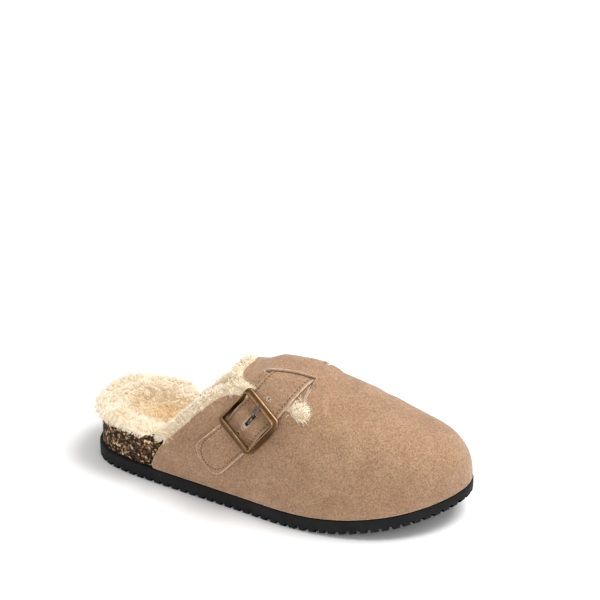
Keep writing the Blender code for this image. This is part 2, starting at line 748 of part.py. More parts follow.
def make_insole(material):
    """Fleece over the cork bowl, hanging over its rim round the heel."""
    edge = sole_outline(insole_inset, 0.0065)
    rim = sole_outline(cork_inset, 0.001)
    lines = [
        sole_outline(lambda x: np.maximum(cork_inset(x) - gap, insole_inset(x) + extra), 0.0065)
        for gap, extra in ((0.0007, 0.0004), (0.00045, 0.0007), (-0.003, 0.0012))
    ]
    flat, faces = triangulate_with_lines([edge], lines + bowl_rings(), BED_SPACING)
    x, y = flat.T
    over = inside(flat, [sole_outline(cork_inset, 0.001)])
    depth = edge_distance(x, y, rim) * np.where(over, 1, -1)
    bed = cork_top(x, y, rim) + CLEARANCE
    ledge = cork_height(x, 1) + CLEARANCE
    drape = INSOLE_DRAPE * (1 - smooth(0.13, 0.175, x / LENGTH))
    lower = np.where(over, bed, ledge) - drape * (depth < -0.0006)
    border = edge_distance(x, y, sole_outline(insole_inset, 0.001))
    down = smooth(CORK_RIM_LEDGE, CORK_RIM_LEDGE + CORK_BOWL_WIDTH, depth)
    pile = INSOLE_RIM_PILE + (INSOLE_PILE - INSOLE_RIM_PILE) * down
    crown = 1 - (1 - smooth(-0.002, 0.007, border)) ** 2
    swell = FLEECE_LUMP * (2 * lumps(x, y) - 1) * smooth(0.0005, 0.003, border)
    upper = np.where(over, bed, ledge) + pile * crown + swell
    lower3 = np.column_stack([flat, lower])
    upper3 = np.column_stack([flat, upper])
    return make_object("insole_fleece", *two_skins(faces, lower3, upper3), material)


def bridge_zone(last):
    """Pattern box round the bridge and its slits, where the surface bends most."""
    rear, front = slit_line(last)
    return np.array([(rear[0] - 0.012, -0.022), (front[0] + 0.012, 0.022)])


def make_upper(last, strap, material):
    loop = upper_loop(last, 0.0042)
    flat, faces = triangulate([loop], 0.0078, bridge_zone(last), 0.0036)
    lift = upper_lift(last, strap, flat)
    outer = last.skin(flat, lift)
    inner = last.skin(flat, lift - UPPER_WALL)
    floor = sole_top(inner[:, 0]) + CLEARANCE
    inner[:, 2] = np.maximum(inner[:, 2], floor)
    outer[:, 2] = np.maximum(outer[:, 2], sole_top(outer[:, 0]) + CLEARANCE)
    return make_object("upper", *two_skins(faces, inner, outer), material)


def lining_low_edge(last, side, spacing):
    """Pattern points along one side of the lining's lower edge, just above the cork."""
    edge = []
    for run, _ in feather_line(last, spacing)[0 if side == LATERAL else 1]:
        girth = last.half_girth(run, side)
        spots = np.column_stack([np.full(281, run), side * np.linspace(1, 0.3, 281) * girth])
        points = last.skin(spots, -UPPER_WALL - LINING_GAP)
        clear = np.where(points[:, 2] > cork_height(points[:, 0], 1) + CLEARANCE)[0]
        if len(clear) and run < last.run[-1] - LINING_TOE_GAP:
            edge.append(spots[clear[0]])
    return np.array(edge)


def lining_half(last, side, spacing):
    """One side of the lining's edge beyond the collar and the tab, up to the ridge."""
    table = np.array(COLLAR_EDGE[:8] + TAB_EDGE[3:])
    edge = through(last.pattern(table), 0.001)
    along = np.gradient(edge, axis=0)
    along /= np.linalg.norm(along, axis=1)[:, None]
    pushed = edge + np.column_stack([-along[:, 1], along[:, 0]]) * -LINING_ROLL
    if pushed[-1, 0] > edge[-1, 0]:
        pushed = 2 * edge - pushed
    gap = np.linalg.norm(pushed[:, None] - edge[None], axis=2).min(1)
    kept = pushed[(gap > LINING_ROLL * 0.985) & (pushed[:, 1] > spacing)]
    kept = np.vstack([kept, [[kept[-1, 0], 0]]])
    kept = through(kept[::4] if len(kept) % 4 == 1 else np.vstack([kept[::4], kept[-1:]]), spacing)
    kept[:, 1] *= side
    return kept


def lining_loop(last, spacing):
    """The closed edge of the lining in the upper's pattern."""
    halves, lows = [], []
    for side in (LATERAL, MEDIAL):
        low = lining_low_edge(last, side, spacing)
        half = lining_half(last, side, spacing)
        limit = np.abs(np.interp(half[:, 0], low[:, 0], low[:, 1])) - 0.3 * spacing
        half = half[np.abs(half[:, 1]) < limit]
        lows.append(low[low[:, 0] > half[0, 0] + 0.3 * spacing])
        halves.append(half)
    toe = np.linspace(lows[0][-1], lows[1][-1], 6)[1:-1]
    return np.vstack([lows[0], toe, lows[1][::-1], halves[1], halves[0][-2::-1]])


def make_lining(last, strap, material):
    """Fleece under the suede, standing out as a roll along the collar and in the keyholes."""
    loop = lining_loop(last, 0.0055)
    suede = upper_loop(last, 0.002)
    hem = upper_loop(last, 0.0055)
    hem = hem[inside(hem, [loop])]
    hem = hem[edge_distance(hem[:, 0], hem[:, 1], loop) > 0.003]
    flat, faces = triangulate([loop], 0.0105, bridge_zone(last), 0.0050, hem)
    bare = ~inside(flat, [suede])
    beyond = edge_distance(flat[:, 0], flat[:, 1], suede) * bare
    free = smooth(0.002, 0.009, strap.distance(flat) - STRAP_WIDTH / 2)
    roll = (0.0011 + 0.0021 * free) * smooth(0.0018, 0.0058, beyond)
    border = edge_distance(flat[:, 0], flat[:, 1], loop)
    swell = FLEECE_LUMP * lumps(flat[:, 0], flat[:, 1])
    outside = -UPPER_WALL - LINING_GAP - dip(last, flat) + roll
    outside -= swell * smooth(0.001, 0.003, beyond) * free
    inside_face = -UPPER_WALL - LINING_GAP - dip(last, flat) - LINING_PILE + swell
    pinch = 0.0012 * (1 - smooth(0, 0.004, border))
    outer = last.skin(flat, outside - pinch * (beyond > 0))
    inner = last.skin(flat, inside_face + pinch)
    floor = cork_height(inner[:, 0], 1) + CLEARANCE
    inner[:, 2] = np.maximum(inner[:, 2], floor)
    outer[:, 2] = np.maximum(outer[:, 2], cork_height(outer[:, 0], 1) + CLEARANCE)
    return make_object("lining_fleece", *two_skins(faces, inner, outer), material)


def strap_half_width(strap, run):
    """Half the strap's width, rounded off at both ends."""
    left = np.minimum(run, strap.length - run)
    nose = np.clip(left / STRAP_TIP_LENGTH, 0, 1)
    return STRAP_WIDTH / 2 * (1 - (1 - nose) ** 2.6) ** (1 / 2.6)


def spaced(start, end, pitch):
    """Evenly spaced runs strictly between start and end, about a pitch apart."""
    return np.linspace(start, end, round((end - start) / pitch) + 1)[1:-1]


def make_strap(strap, material):
    at = strap.buckle_run
    slot = (at + STRAP_SLOT[0], at + STRAP_SLOT[1])
    nose = STRAP_TIP_LENGTH * np.array([0.0, 0.03, 0.12, 0.3, 0.6, 1.0])
    fine = np.r_[np.linspace(at - 0.011, slot[0], 6), np.linspace(*slot, 5)[1:-1]]
    fine = np.r_[fine, np.linspace(slot[1], at + 0.011, 5)]
    ridge = strap.run[np.abs(strap.line[:, 1]).argmin()]
    stations = np.r_[
        nose,
        spaced(nose[-1], fine[0], 0.0065),
        fine,
        spaced(fine[-1], ridge - 0.022, 0.0055),
        ridge - 0.022,
        spaced(ridge - 0.022, ridge + 0.022, 0.0036),
        ridge + 0.022,
        spaced(ridge + 0.022, strap.length - nose[-1], 0.0072),
        strap.length - nose[::-1],
    ]
    half = np.maximum(strap_half_width(strap, stations), 0.0006)
    slot_half = PRONG_WIDTH / 2 + CLEARANCE
    slot_share = slot_half / (STRAP_WIDTH / 2)
    columns = np.array([-1, -0.55, -slot_share, slot_share, 0.55, 1])
    width = len(columns)
    across = (half[:, None] * columns[None]).ravel()
    run = np.repeat(stations, width)
    lower = strap.skin(run, across, False)
    upper = strap.skin(run, across, True)
    cells = []
    for i in range(len(stations) - 1):
        in_slot = slot[0] - 1e-6 < stations[i] and stations[i + 1] < slot[1] + 1e-6
        for j in range(width - 1):
            if in_slot and j == width // 2 - 1:
                continue
            a = i * width + j
            cells.append((a, a + 1, a + 1 + width))
            cells.append((a, a + 1 + width, a + width))
    verts, faces = two_skins(np.array(cells), lower, upper)
    used = sorted({k for face in faces for k in face})
    renumber = {k: n for n, k in enumerate(used)}
    return make_object(
        "instep_strap", verts[used], [[renumber[k] for k in face] for face in faces], material
    )


def buckle_ring(extra_along, extra_across, corner, steps=4):
    """A rounded rectangle in the buckle's plane, as (along, across) points."""
    half_along = BUCKLE_OPENING_ALONG / 2 + extra_along - corner
    half_across = BUCKLE_OPENING_ACROSS / 2 + extra_across - corner
    points = []
    for quarter, (sa, sb) in enumerate(((1, 1), (-1, 1), (-1, -1), (1, -1))):
        for turn in np.linspace(0, math.pi / 2, steps) + quarter * math.pi / 2:
            points.append((
                sa * half_along + corner * math.cos(turn),
                sb * half_across + corner * math.sin(turn),
            ))
        if quarter in (0, 2):
            for share in (0.28, 0.5, 0.72):
                points.append((sa * half_along * (1 - 2 * share), sb * (half_across + corner)))
        else:
            for share in (0.33, 0.67):
                points.append((sa * (half_along + corner), sb * half_across * (1 - 2 * share)))
    return np.array(points)


def buckle_levels(strap):
    """Heights of the frame's underside at its side bars and at its end bars, and of its rim."""
    a, b = BUCKLE_OPENING_ALONG / 2, BUCKLE_OPENING_ACROSS / 2
    sides = max(
        strap.highest((-0.006, 0.006), (s * b, s * (b + BUCKLE_SIDE_BAR)), 0) for s in (-1, 1)
    )
    ends = max(
        strap.highest(
            (s * a, s * (a + BUCKLE_END_BAR)), (-b, b), STRAP_GAP + STRAP_THICKNESS
        ) for s in (-1, 1)
    )
    low_side = sides + CLEARANCE
    low_end = ends + CLEARANCE
    return low_side, low_end, low_end + BUCKLE_HEIGHT


def in_buckle(strap, along, across, height):
    return (
        strap.origin + np.outer(along, strap.along) + np.outer(across, strap.across)
        + np.outer(height, strap.out)
    )


def make_buckle(strap, material):
    """One cast frame: sloping bars with a raised inner rim, and the bar across its middle."""
    low_side, low_end, top = buckle_levels(strap)
    inner = buckle_ring(0.0, 0.0, 0.0015)
    rim = buckle_ring(0.0008, 0.0006, 0.0020)
    edge = buckle_ring(BUCKLE_END_BAR, BUCKLE_SIDE_BAR, BUCKLE_CORNER)
    under = low_side + (low_end - low_side) * smooth(0.0062, 0.0105, np.abs(inner[:, 0]))
    rows = [
        (inner, under),
        (inner, np.full(len(inner), top)),
        (rim, np.full(len(inner), top)),
        (edge, under + (top - under) * 0.42),
        (edge, under),
    ]
    verts = np.vstack([in_buckle(strap, r[:, 0], r[:, 1], z) for r, z in rows])
    count = len(inner)
    faces = []
    for level in range(len(rows)):
        here, there = level * count, (level + 1) % len(rows) * count
        for i in range(count):
            j = (i + 1) % count
            faces.append((here + i, here + j, there + j, there + i))
    frame = make_object("buckle_frame", verts, faces, material)
    reach = BUCKLE_OPENING_ACROSS / 2 + BUCKLE_SIDE_BAR * 0.5
    bar_verts, bar_faces = tube(
        in_buckle(strap, [0, 0], [-reach, reach], [strap.bar_height] * 2),
        strap.out, BAR_RADIUS, BAR_RADIUS, 8,
    )
    bar = make_object("buckle_bar_core", bar_verts, bar_faces, material)
    bar.hide_render = True
    bar.display_type = "WIRE"
    join = frame.modifiers.new("bar", "BOOLEAN")
    join.operation = "UNION"
    join.solver = "EXACT"
    join.object = bar
    return frame


def tube(path, up, half_wide, half_high, sides):
    """A closed tube of elliptical section along a path of points."""
    path = np.asarray(path, float)
    along = np.gradient(path, axis=0)
    along /= np.linalg.norm(along, axis=1)[:, None]
    side = np.cross(along, up)
    side /= np.linalg.norm(side, axis=1)[:, None]
    high = np.cross(side, along)
    verts, faces = [], []
    for centre, s, h in zip(path, side, high):
        for k in range(sides):
            turn = 2 * math.pi * (k + 0.5) / sides
            verts.append(centre + s * half_wide * math.cos(turn) + h * half_high * math.sin(turn))
    for i in range(len(path) - 1):
        for k in range(sides):
            n = (k + 1) % sides
            faces.append((i * sides + k, i * sides + n, (i + 1) * sides + n, (i + 1) * sides + k))
    faces.append(tuple(range(sides))[::-1])
    faces.append(tuple(range((len(path) - 1) * sides, len(path) * sides)))
    return np.array(verts), faces


def make_prong(strap, material):
    """A hook over the bar, up through the strap and on to the instep-side bar."""
    _, _, top = buckle_levels(strap)
    half = PRONG_THICKNESS / 2
    reach = BAR_RADIUS + CLEARANCE + half
    path = []
    for turn in np.radians((215, 185, 155, 125, 95, 70)):
        path.append((reach * math.cos(turn), strap.bar_height + reach * math.sin(turn)))
    rest = top + CLEARANCE + half
    a = BUCKLE_OPENING_ALONG / 2
    path += [(0.0035, strap.bar_height + 0.0030), (a * 0.62, rest - 0.0004), (a, rest + 0.0002)]
    path += [(a + 0.0018, rest), (a + 0.0032, rest - 0.0006)]
    path = np.array(path)
    verts, faces = tube(
        in_buckle(strap, path[:, 0], np.zeros(len(path)), path[:, 1]),
        strap.across,
        half, PRONG_WIDTH / 2, 8,
    )
    return make_object("buckle_prong", verts, faces, material)


def main():
    for obj in list(bpy.data.objects):
        bpy.data.objects.remove(obj, do_unlink=True)
    rubber = make_material("outsole_rubber", (0.022, 0.022, 0.023), 0.75)
    cork = make_material("cork", (0.16, 0.09, 0.045), 0.85)
    fleece = make_material("cream_fleece", (0.86, 0.77, 0.62), 0.95)
    suede = make_material("taupe_suede", (0.47, 0.32, 0.21), 0.9)
    bronze = make_material("antique_bronze", (0.24, 0.13, 0.07), 0.35, 1.0)
    steel = make_material("prong_steel", (0.22, 0.20, 0.19), 0.3, 1.0)
    last = Last()
    strap = Strap(last)
    make_outsole(rubber)
    make_midsole(cork)
    make_insole(fleece)
    make_upper(last, strap, suede)
    make_lining(last, strap, fleece)
    make_strap(strap, suede)
    make_buckle(strap, bronze)
    make_prong(strap, steel)
    bpy.context.view_layer.update()
    sole = bpy.data.objects["outsole"]
    points = np.array([tuple(v.co) for v in sole.data.vertices])
    middle = (points.min(0) + points.max(0)) / 2
    for obj in bpy.data.objects:
        obj.data.transform(Matrix.Translation((-middle[0], -middle[1], 0)))


main()
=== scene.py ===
"""The looks of the buckled slipper: napped suede, plush fleece, pressed cork, rubber and bronze."""

import math

import bmesh
import bpy
import numpy as np
from mathutils import Matrix, Vector
from mathutils.geometry import delaunay_2d_cdt


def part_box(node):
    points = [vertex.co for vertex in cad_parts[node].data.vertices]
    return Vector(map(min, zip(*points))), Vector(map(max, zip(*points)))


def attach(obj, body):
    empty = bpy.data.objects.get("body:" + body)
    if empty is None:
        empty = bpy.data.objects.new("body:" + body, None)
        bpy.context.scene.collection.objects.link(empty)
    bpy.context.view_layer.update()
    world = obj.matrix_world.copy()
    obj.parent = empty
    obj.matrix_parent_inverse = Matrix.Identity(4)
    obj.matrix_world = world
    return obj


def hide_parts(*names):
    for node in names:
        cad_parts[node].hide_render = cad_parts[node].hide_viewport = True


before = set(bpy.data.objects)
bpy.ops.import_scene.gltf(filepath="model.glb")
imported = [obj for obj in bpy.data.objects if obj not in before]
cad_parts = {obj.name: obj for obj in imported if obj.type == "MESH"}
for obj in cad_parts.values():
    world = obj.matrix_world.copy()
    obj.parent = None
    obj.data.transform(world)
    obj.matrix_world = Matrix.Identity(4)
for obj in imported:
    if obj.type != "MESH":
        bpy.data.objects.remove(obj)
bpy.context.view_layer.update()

# The shape functions work in metres with the back of the heel at x = 0, and make_piece moves
# each mesh by SHIFT into the part's frame.

# Driving sizes of the last and the sole
LENGTH = 0.262
BALL_WIDTH = 0.0965
HEEL_WIDTH = 0.070
INSTEP_HEIGHT = 0.0900
TOE_SPRING = 0.0172
SPRING_START = 0.58
OUTSOLE_THICKNESS = 0.0104
OUTSOLE_TOE_THINNING = 0.0024
CLEARANCE = 0.0004

# Outsole edge notches
NOTCH_PITCH = 0.0070
NOTCH_RADIUS = 0.0017
NOTCH_RISE = 0.0011
NOTCH_DEPTH = 0.0055

# Cork body
CORK_RIM_LEDGE = 0.0075
CORK_BOWL_WIDTH = 0.014

# Fleece insole
INSOLE_PILE = 0.0070
INSOLE_RIM_PILE = 0.0032
INSOLE_OVERHANG = 0.0022
INSOLE_DRAPE = 0.0018
INSOLE_FORE_INSET = 0.0098
FLEECE_LUMP = 0.0009
BED_SPACING = 0.0095

# Suede upper and its lining
UPPER_WALL = 0.0018
UPPER_INSET = 0.0007
LINING_PILE = 0.0045
LINING_GAP = 0.0007
LINING_ROLL = 0.0062
LINING_TOE_GAP = 0.0105
KEYHOLE_RADIUS = 0.0070
SLIT_WIDTH = 0.0016
CUT_WIDTH = 0.0009

# Instep strap
STRAP_WIDTH = 0.027
STRAP_THICKNESS = 0.0022
STRAP_GAP = 0.0006
STRAP_TIP_LENGTH = 0.0095
STRAP_DIP = 0.0019
STRAP_SLOT = (-0.0032, 0.0054)

# Buckle
BUCKLE_OPENING_ALONG = 0.0235
BUCKLE_OPENING_ACROSS = 0.0284
BUCKLE_END_BAR = 0.0045
BUCKLE_SIDE_BAR = 0.0024
BUCKLE_HEIGHT = 0.0045
BUCKLE_CORNER = 0.0035
BAR_RADIUS = 0.0011
PRONG_WIDTH = 0.0022
PRONG_THICKNESS = 0.0013

LATERAL = -1
MEDIAL = 1

# Sole outline from heel back, along the lateral side to the toe and back along the medial side:
# share of the length, share of the local width
SOLE_OUTLINE = (
    (0.000, 0.000), (0.014, -0.245), (0.050, -0.400), (0.115, -0.492), (0.220, -0.530),
    (0.350, -0.515), (0.480, -0.500), (0.600, -0.512), (0.690, -0.508), (0.780, -0.460),
    (0.870, -0.355), (0.940, -0.200), (0.983, -0.035), (1.000, 0.125), (0.985, 0.280),
    (0.935, 0.410), (0.860, 0.475), (0.770, 0.500), (0.680, 0.488), (0.575, 0.440),
    (0.460, 0.390), (0.350, 0.390), (0.220, 0.465), (0.115, 0.485), (0.050, 0.400),
    (0.014, 0.245),
)

# Sections of the last: share of the length, ridge height as a share of the instep height,
# ridge offset towards medial as a share of the ball width, fullness of the section
LAST_SECTIONS = (
    (0.16, 0.940, 0.000, 2.5),
    (0.30, 0.950, 0.000, 2.3),
    (0.42, 0.965, 0.000, 2.25),
    (0.49, 0.988, 0.005, 2.25),
    (0.55, 1.000, 0.010, 2.25),
    (0.59, 0.986, 0.015, 2.3),
    (0.63, 0.958, 0.025, 2.3),
    (0.68, 0.908, 0.040, 2.35),
    (0.74, 0.845, 0.055, 2.4),
    (0.80, 0.775, 0.070, 2.4),
    (0.86, 0.715, 0.085, 2.4),
    (0.92, 0.668, 0.100, 2.4),
    (1.00, 0.610, 0.115, 2.4),
)

# Cork body: share of the length, height of the rim and of the seat above the outsole, inset of
# its side from the sole's outline
CORK_PROFILE = (
    (0.00, 0.0262, 0.0125, 0.0024),
    (0.10, 0.0256, 0.0125, 0.0024),
    (0.18, 0.0238, 0.0124, 0.0024),
    (0.22, 0.0226, 0.0122, 0.0042),
    (0.30, 0.0200, 0.0116, 0.0048),
    (0.38, 0.0176, 0.0110, 0.0046),
    (0.53, 0.0122, 0.0095, 0.0039),
    (0.68, 0.0085, 0.0080, 0.0035),
    (0.85, 0.0080, 0.0077, 0.0038),
    (0.93, 0.0079, 0.0076, 0.0046),
    (1.00, 0.0078, 0.0075, 0.0056),
)

# Edges of the upper in its pattern: share of the length, share of the half girth from the ridge
COLLAR_EDGE = (
    (0.208, 1.000), (0.218, 0.930), (0.246, 0.795), (0.292, 0.665), (0.330, 0.540),
    (0.374, 0.410), (0.398, 0.355), (0.428, 0.328), (0.460, 0.340), (0.510, 0.362),
    (0.548, 0.374), (0.583, 0.374),
)
TAB_EDGE = (
    (0.582, 0.312), (0.540, 0.292), (0.504, 0.262), (0.472, 0.232), (0.447, 0.207),
    (0.430, 0.175), (0.425, 0.125), (0.429, 0.060), (0.432, 0.000),
)
KEYHOLE = (0.612, 0.345)
SLIT_REAR = (0.487, 0.128)
SLIT_FRONT = (0.611, 0.098)

# Middle line of the strap from its tip on the lateral side over the ridge to the medial end
STRAP_LINE = (
    (0.370, -0.811), (0.432, -0.640), (0.491, -0.465), (0.539, -0.240), (0.563, 0.000),
    (0.540, 0.240), (0.495, 0.465), (0.446, 0.640), (0.396, 0.790),
)
BUCKLE_AT = 0.465

# Rounding of the toe and rear end of the last, as shares of the length, and its power
TOE_ROUND_START = 0.86
TOE_ROUND_POWER = 2.8
LAST_START = 0.165

# Camera, from the fit to the sole's edges: degrees, metres, pixels of the frame. The scale is
# in pixels per metre at the target, which falls on the target pixel.
CAMERA_AZIMUTH = 25.0
CAMERA_ELEVATION = 27.5
CAMERA_DISTANCE = 1.4
CAMERA_SCALE = 1515.0
CAMERA_TARGET = (0.130, 0.0, 0.040)
TARGET_PIXEL = (277.7, 428.3)
FRAME_PIXELS = 600
SENSOR = 36.0

# Lamps as name, place, size and power
WORLD_LIGHT = 0.72
LAMPS = (
    ("key", (0.60, 0.30, 1.40), 0.8, 19.0),
    ("fill", (0.9, -1.2, 0.9), 1.0, 3.5),
)
FLOOR_REACH = 9
FLOOR_WHITE = 0.95
VIEW_REACH = 50

# Colours, linear, and a painted glow: the fleece emits light in its own colour, standing in for the
# light that the pile passes on from strand to strand
FLEECE_PAINTED_GLOW = 0.11
SUEDE_LIGHT = (0.425, 0.262, 0.158)
SUEDE_DARK = (0.340, 0.200, 0.116)
# Raw cut edges: their own lighter tone, made lighter still as a painted highlight along the rounded
# rims
RAW_EDGE_AND_HIGHLIGHT_LIGHT = (0.74, 0.56, 0.40)
RAW_EDGE_AND_HIGHLIGHT_DARK = (0.52, 0.35, 0.22)
FLEECE_TIP = (0.97, 0.89, 0.75)
FLEECE_WARM = (0.95, 0.82, 0.61)
FLEECE_TAN = (0.80, 0.56, 0.28)
# Painted shade: the tan that the pile's shaded depth shows, put on near the roots
FLEECE_ROOT_SHADE = (0.96, 0.80, 0.56)
BRONZE_DARK = (0.085, 0.043, 0.020)
BRONZE_MID = (0.13, 0.068, 0.032)
BRONZE_GOLD = (0.80, 0.52, 0.26)
RUBBER_DARK = (0.007, 0.007, 0.0075)
RUBBER_LIGHT = (0.013, 0.013, 0.014)
THREAD_DARK = (0.070, 0.040, 0.024)
THREAD_LIGHT = (0.18, 0.11, 0.068)

# Sole edge as rows of inset, extra height, and share of the way from the underside to the top
OUTSOLE_PROFILE = (
    (0.0007, 0.0, 0.0), (0.0, 0.0007, 0.0), (0.0, -0.0011, 1.0), (0.0004, -0.0003, 1.0),
    (0.0013, 0.0, 1.0),
)

# Spacing of the mesh points on each surface
OUTSOLE_SPACING = 0.0016
OUTSOLE_FACE_SPACING = 0.009
CORK_SPACING = 0.0022
FOOTBED_EDGE_SPACING = 0.003
FOOTBED_SPACING = 0.0034
LINING_EDGE_SPACING = 0.0032
LINING_SPACING = 0.0052
LINING_BRIDGE_SPACING = 0.0036
UPPER_EDGE_SPACING = 0.0016
UPPER_SPACING = 0.0032
UPPER_BRIDGE_SPACING = 0.0022
STRAP_EDGE_SPACING = 0.0022
STRAP_SPACING = 0.0030

# Cork: eased upper edge and its foot in the sole's top
CORK_EDGE_BAND = 0.0008
CORK_EDGE_DROP = 0.0006
CORK_FOOT = 0.0002

# Footbed: lines of the mesh near the rim, the length that the upper leaves open, and how the
# pile gives way in the hollow
FOOTBED_LINES = ((0.0007, 0.0004), (0.00045, 0.0007), (-0.003, 0.0012))
OPEN_LENGTH = 0.125
PRESSED_THINNING = 0.15

# Height of the strands as shares of their length
FOOTBED_STRANDS = 0.72
PRESSED_STRANDS_DROP = 0.30
RIM_STRANDS = 0.45
HIDDEN_STRANDS = 0.6
LINING_STRANDS = 0.60
MOUTH_STRANDS_GAIN = 0.25
LIP_STRANDS_GAIN = 0.35

# Rolled lip of the lining: its rise near the strap, its further rise away from it, and the
# thinning at its border
LIP_RISE = 0.0011
LIP_FREE_RISE = 0.0021
LIP_PINCH = 0.0012

# Rounded rims, slack in the suede, the pressed hollow in the heel and room left for strands
BUCKLE_RIM_ROUND = 0.00018
UPPER_RIM_ROUND = 0.00045
STRAP_RIM_ROUND = 0.00075
SLACK_DEPTH = 0.00022
HOLLOW_AT = (0.050, 0.004)
HOLLOW_SIZE = (0.034, 0.017)
HOLLOW_REACH = 1.25
PILE_ROOM = 0.0022
TUFT_GAIN = 0.75

# Folds as ((x share, girth share), (x share, girth share), width, depth)
FOLDS = (
    ((0.70, -0.30), (0.74, -0.75), 0.0040, 0.0006),
    ((0.74, 0.10), (0.76, 0.55), 0.0045, 0.0005),
)

# Strap holes as runs from the buckle's bar, and the seam
STRAP_HOLES = (-0.0103, -0.0052, 0.0180)
STRAP_HOLE_RADIUS = 0.0011
EYELET_RIM = 0.00035
STITCH_PITCH = 0.0021
STITCH_LONG = 0.0015
STITCH_WIDE = 0.00062
STITCH_INSET = 0.0024
STITCH_END_GAP = 0.004
STITCH_LIFT = 0.00005

# Fleece strands: sizes in metres, scales per metre, the rest as shares
STRAND_RADIUS = 0.00031
STRAND_LENGTH = 0.0056
STRAND_SEED = 11
STRAND_POINTS = 5
STRAND_TIP = 0.12
STRAND_UNEVEN = (0.60, 1.12)
STRAND_STRAY = 0.30
STRAND_EARLY_TURN = 0.15
STRAND_LEAN = 1.9
STRAND_DROOP = 0.30
STRAND_CURL = 0.0022
LEAN_SCALE = 70.0
CURL_SCALE = 330.0
LOCK_SCALE = 190.0
LOCK_GATHER = 0.55
LOCK_LEAN = 0.9
MIDDLE = (0.5, 0.5, 0.5)
FOOTBED_DENSITY = 0.83e6
COLLAR_DENSITY = 0.70e6
STRAND_ATTRIBUTES = ("along", "pressed", "position", "material_index", "sharp_face")


def smooth(low, high, x):
    t = np.clip((x - low) / (high - low), 0, 1)
    return t * t * (3 - 2 * t)


def through(points, spacing, closed=False):
    """Points spaced evenly on a smooth curve through the given points."""
    p = np.asarray(points, float)
    if closed:
        p = np.vstack([p[-2:], p, p[:3]])
    else:
        p = np.vstack([2 * p[0] - p[1], p, 2 * p[-1] - p[-2]])
    knots = np.r_[0, np.cumsum(np.linalg.norm(np.diff(p, axis=0), axis=1) ** 0.5)]
    fine = []
    last = len(p) - 3 if closed else len(p) - 2
    for i in range(2 if closed else 1, last):
        t = np.linspace(knots[i], knots[i + 1], 24, endpoint=False)[:, None]
        k0, k1, k2, k3 = knots[i - 1 : i + 3]
        a1 = (k1 - t) / (k1 - k0) * p[i - 1] + (t - k0) / (k1 - k0) * p[i]
        a2 = (k2 - t) / (k2 - k1) * p[i] + (t - k1) / (k2 - k1) * p[i + 1]
        a3 = (k3 - t) / (k3 - k2) * p[i + 1] + (t - k2) / (k3 - k2) * p[i + 2]
        b1 = (k2 - t) / (k2 - k0) * a1 + (t - k0) / (k2 - k0) * a2
        b2 = (k3 - t) / (k3 - k1) * a2 + (t - k1) / (k3 - k1) * a3
        fine.append((k2 - t) / (k2 - k1) * b1 + (t - k1) / (k2 - k1) * b2)
    fine = np.vstack(fine + [p[last : last + 1]])
    run = np.r_[0, np.cumsum(np.linalg.norm(np.diff(fine, axis=0), axis=1))]
    count = max(2, round(run[-1] / spacing))
    at = np.linspace(0, run[-1], count + 1)
    if closed:
        at = at[:-1]
    return np.column_stack([np.interp(at, run, fine[:, k]) for k in range(p.shape[1])])


def sole_outline(inset=0.0, spacing=0.004):
    """The sole's plan outline, moved inwards by inset, which may vary with x."""
    shares = np.array(SOLE_OUTLINE)
    width = HEEL_WIDTH + (BALL_WIDTH - HEEL_WIDTH) * smooth(0.12, 0.60, shares[:, 0])
    ring = through(np.column_stack([shares[:, 0] * LENGTH, shares[:, 1] * width]), spacing, True)
    along = np.roll(ring, -1, 0) - np.roll(ring, 1, 0)
    along /= np.linalg.norm(along, axis=1)[:, None]
    inwards = np.column_stack([-along[:, 1], along[:, 0]])
    depth = inset(ring[:, 0]) if callable(inset) else np.full(len(ring), inset)
    return ring + inwards * depth[:, None]


def floor_rise(x):
    """Height of the outsole's underside: flat under heel and ball, then the toe spring."""
    start = SPRING_START * LENGTH
    return TOE_SPRING * (np.clip(x - start, 0, None) / (LENGTH - start)) ** 2


def sole_top(x):
    """Top of the outsole, which thins a little towards the toe."""
    thinning = OUTSOLE_TOE_THINNING / TOE_SPRING * floor_rise(x)
    return floor_rise(x) + OUTSOLE_THICKNESS - thinning


def edge_distance(x, y, ring):
    """Distance from each point to the ring of points, in plan."""
    p = np.column_stack([np.ravel(x), np.ravel(y)])
    a, b = ring, np.roll(ring, -1, 0)
    ab = b - a
    t = np.clip(((p[:, None] - a) * ab).sum(2) / (ab * ab).sum(1), 0, 1)
    gap = np.linalg.norm(p[:, None] - (a + t[..., None] * ab), axis=2)
    return gap.min(1)


def inside(points, loops):
    """Which points lie inside the loops, counting a loop within a loop as a hole."""
    p = np.asarray(points, float)
    odd = np.zeros(len(p), bool)
    for loop in loops:
        a, b = loop, np.roll(loop, -1, 0)
        for (x0, y0), (x1, y1) in zip(a, b):
            crosses = (y0 > p[:, 1]) != (y1 > p[:, 1])
            if y1 != y0:
                odd ^= crosses & (p[:, 0] < (x1 - x0) * (p[:, 1] - y0) / (y1 - y0) + x0)
    return odd


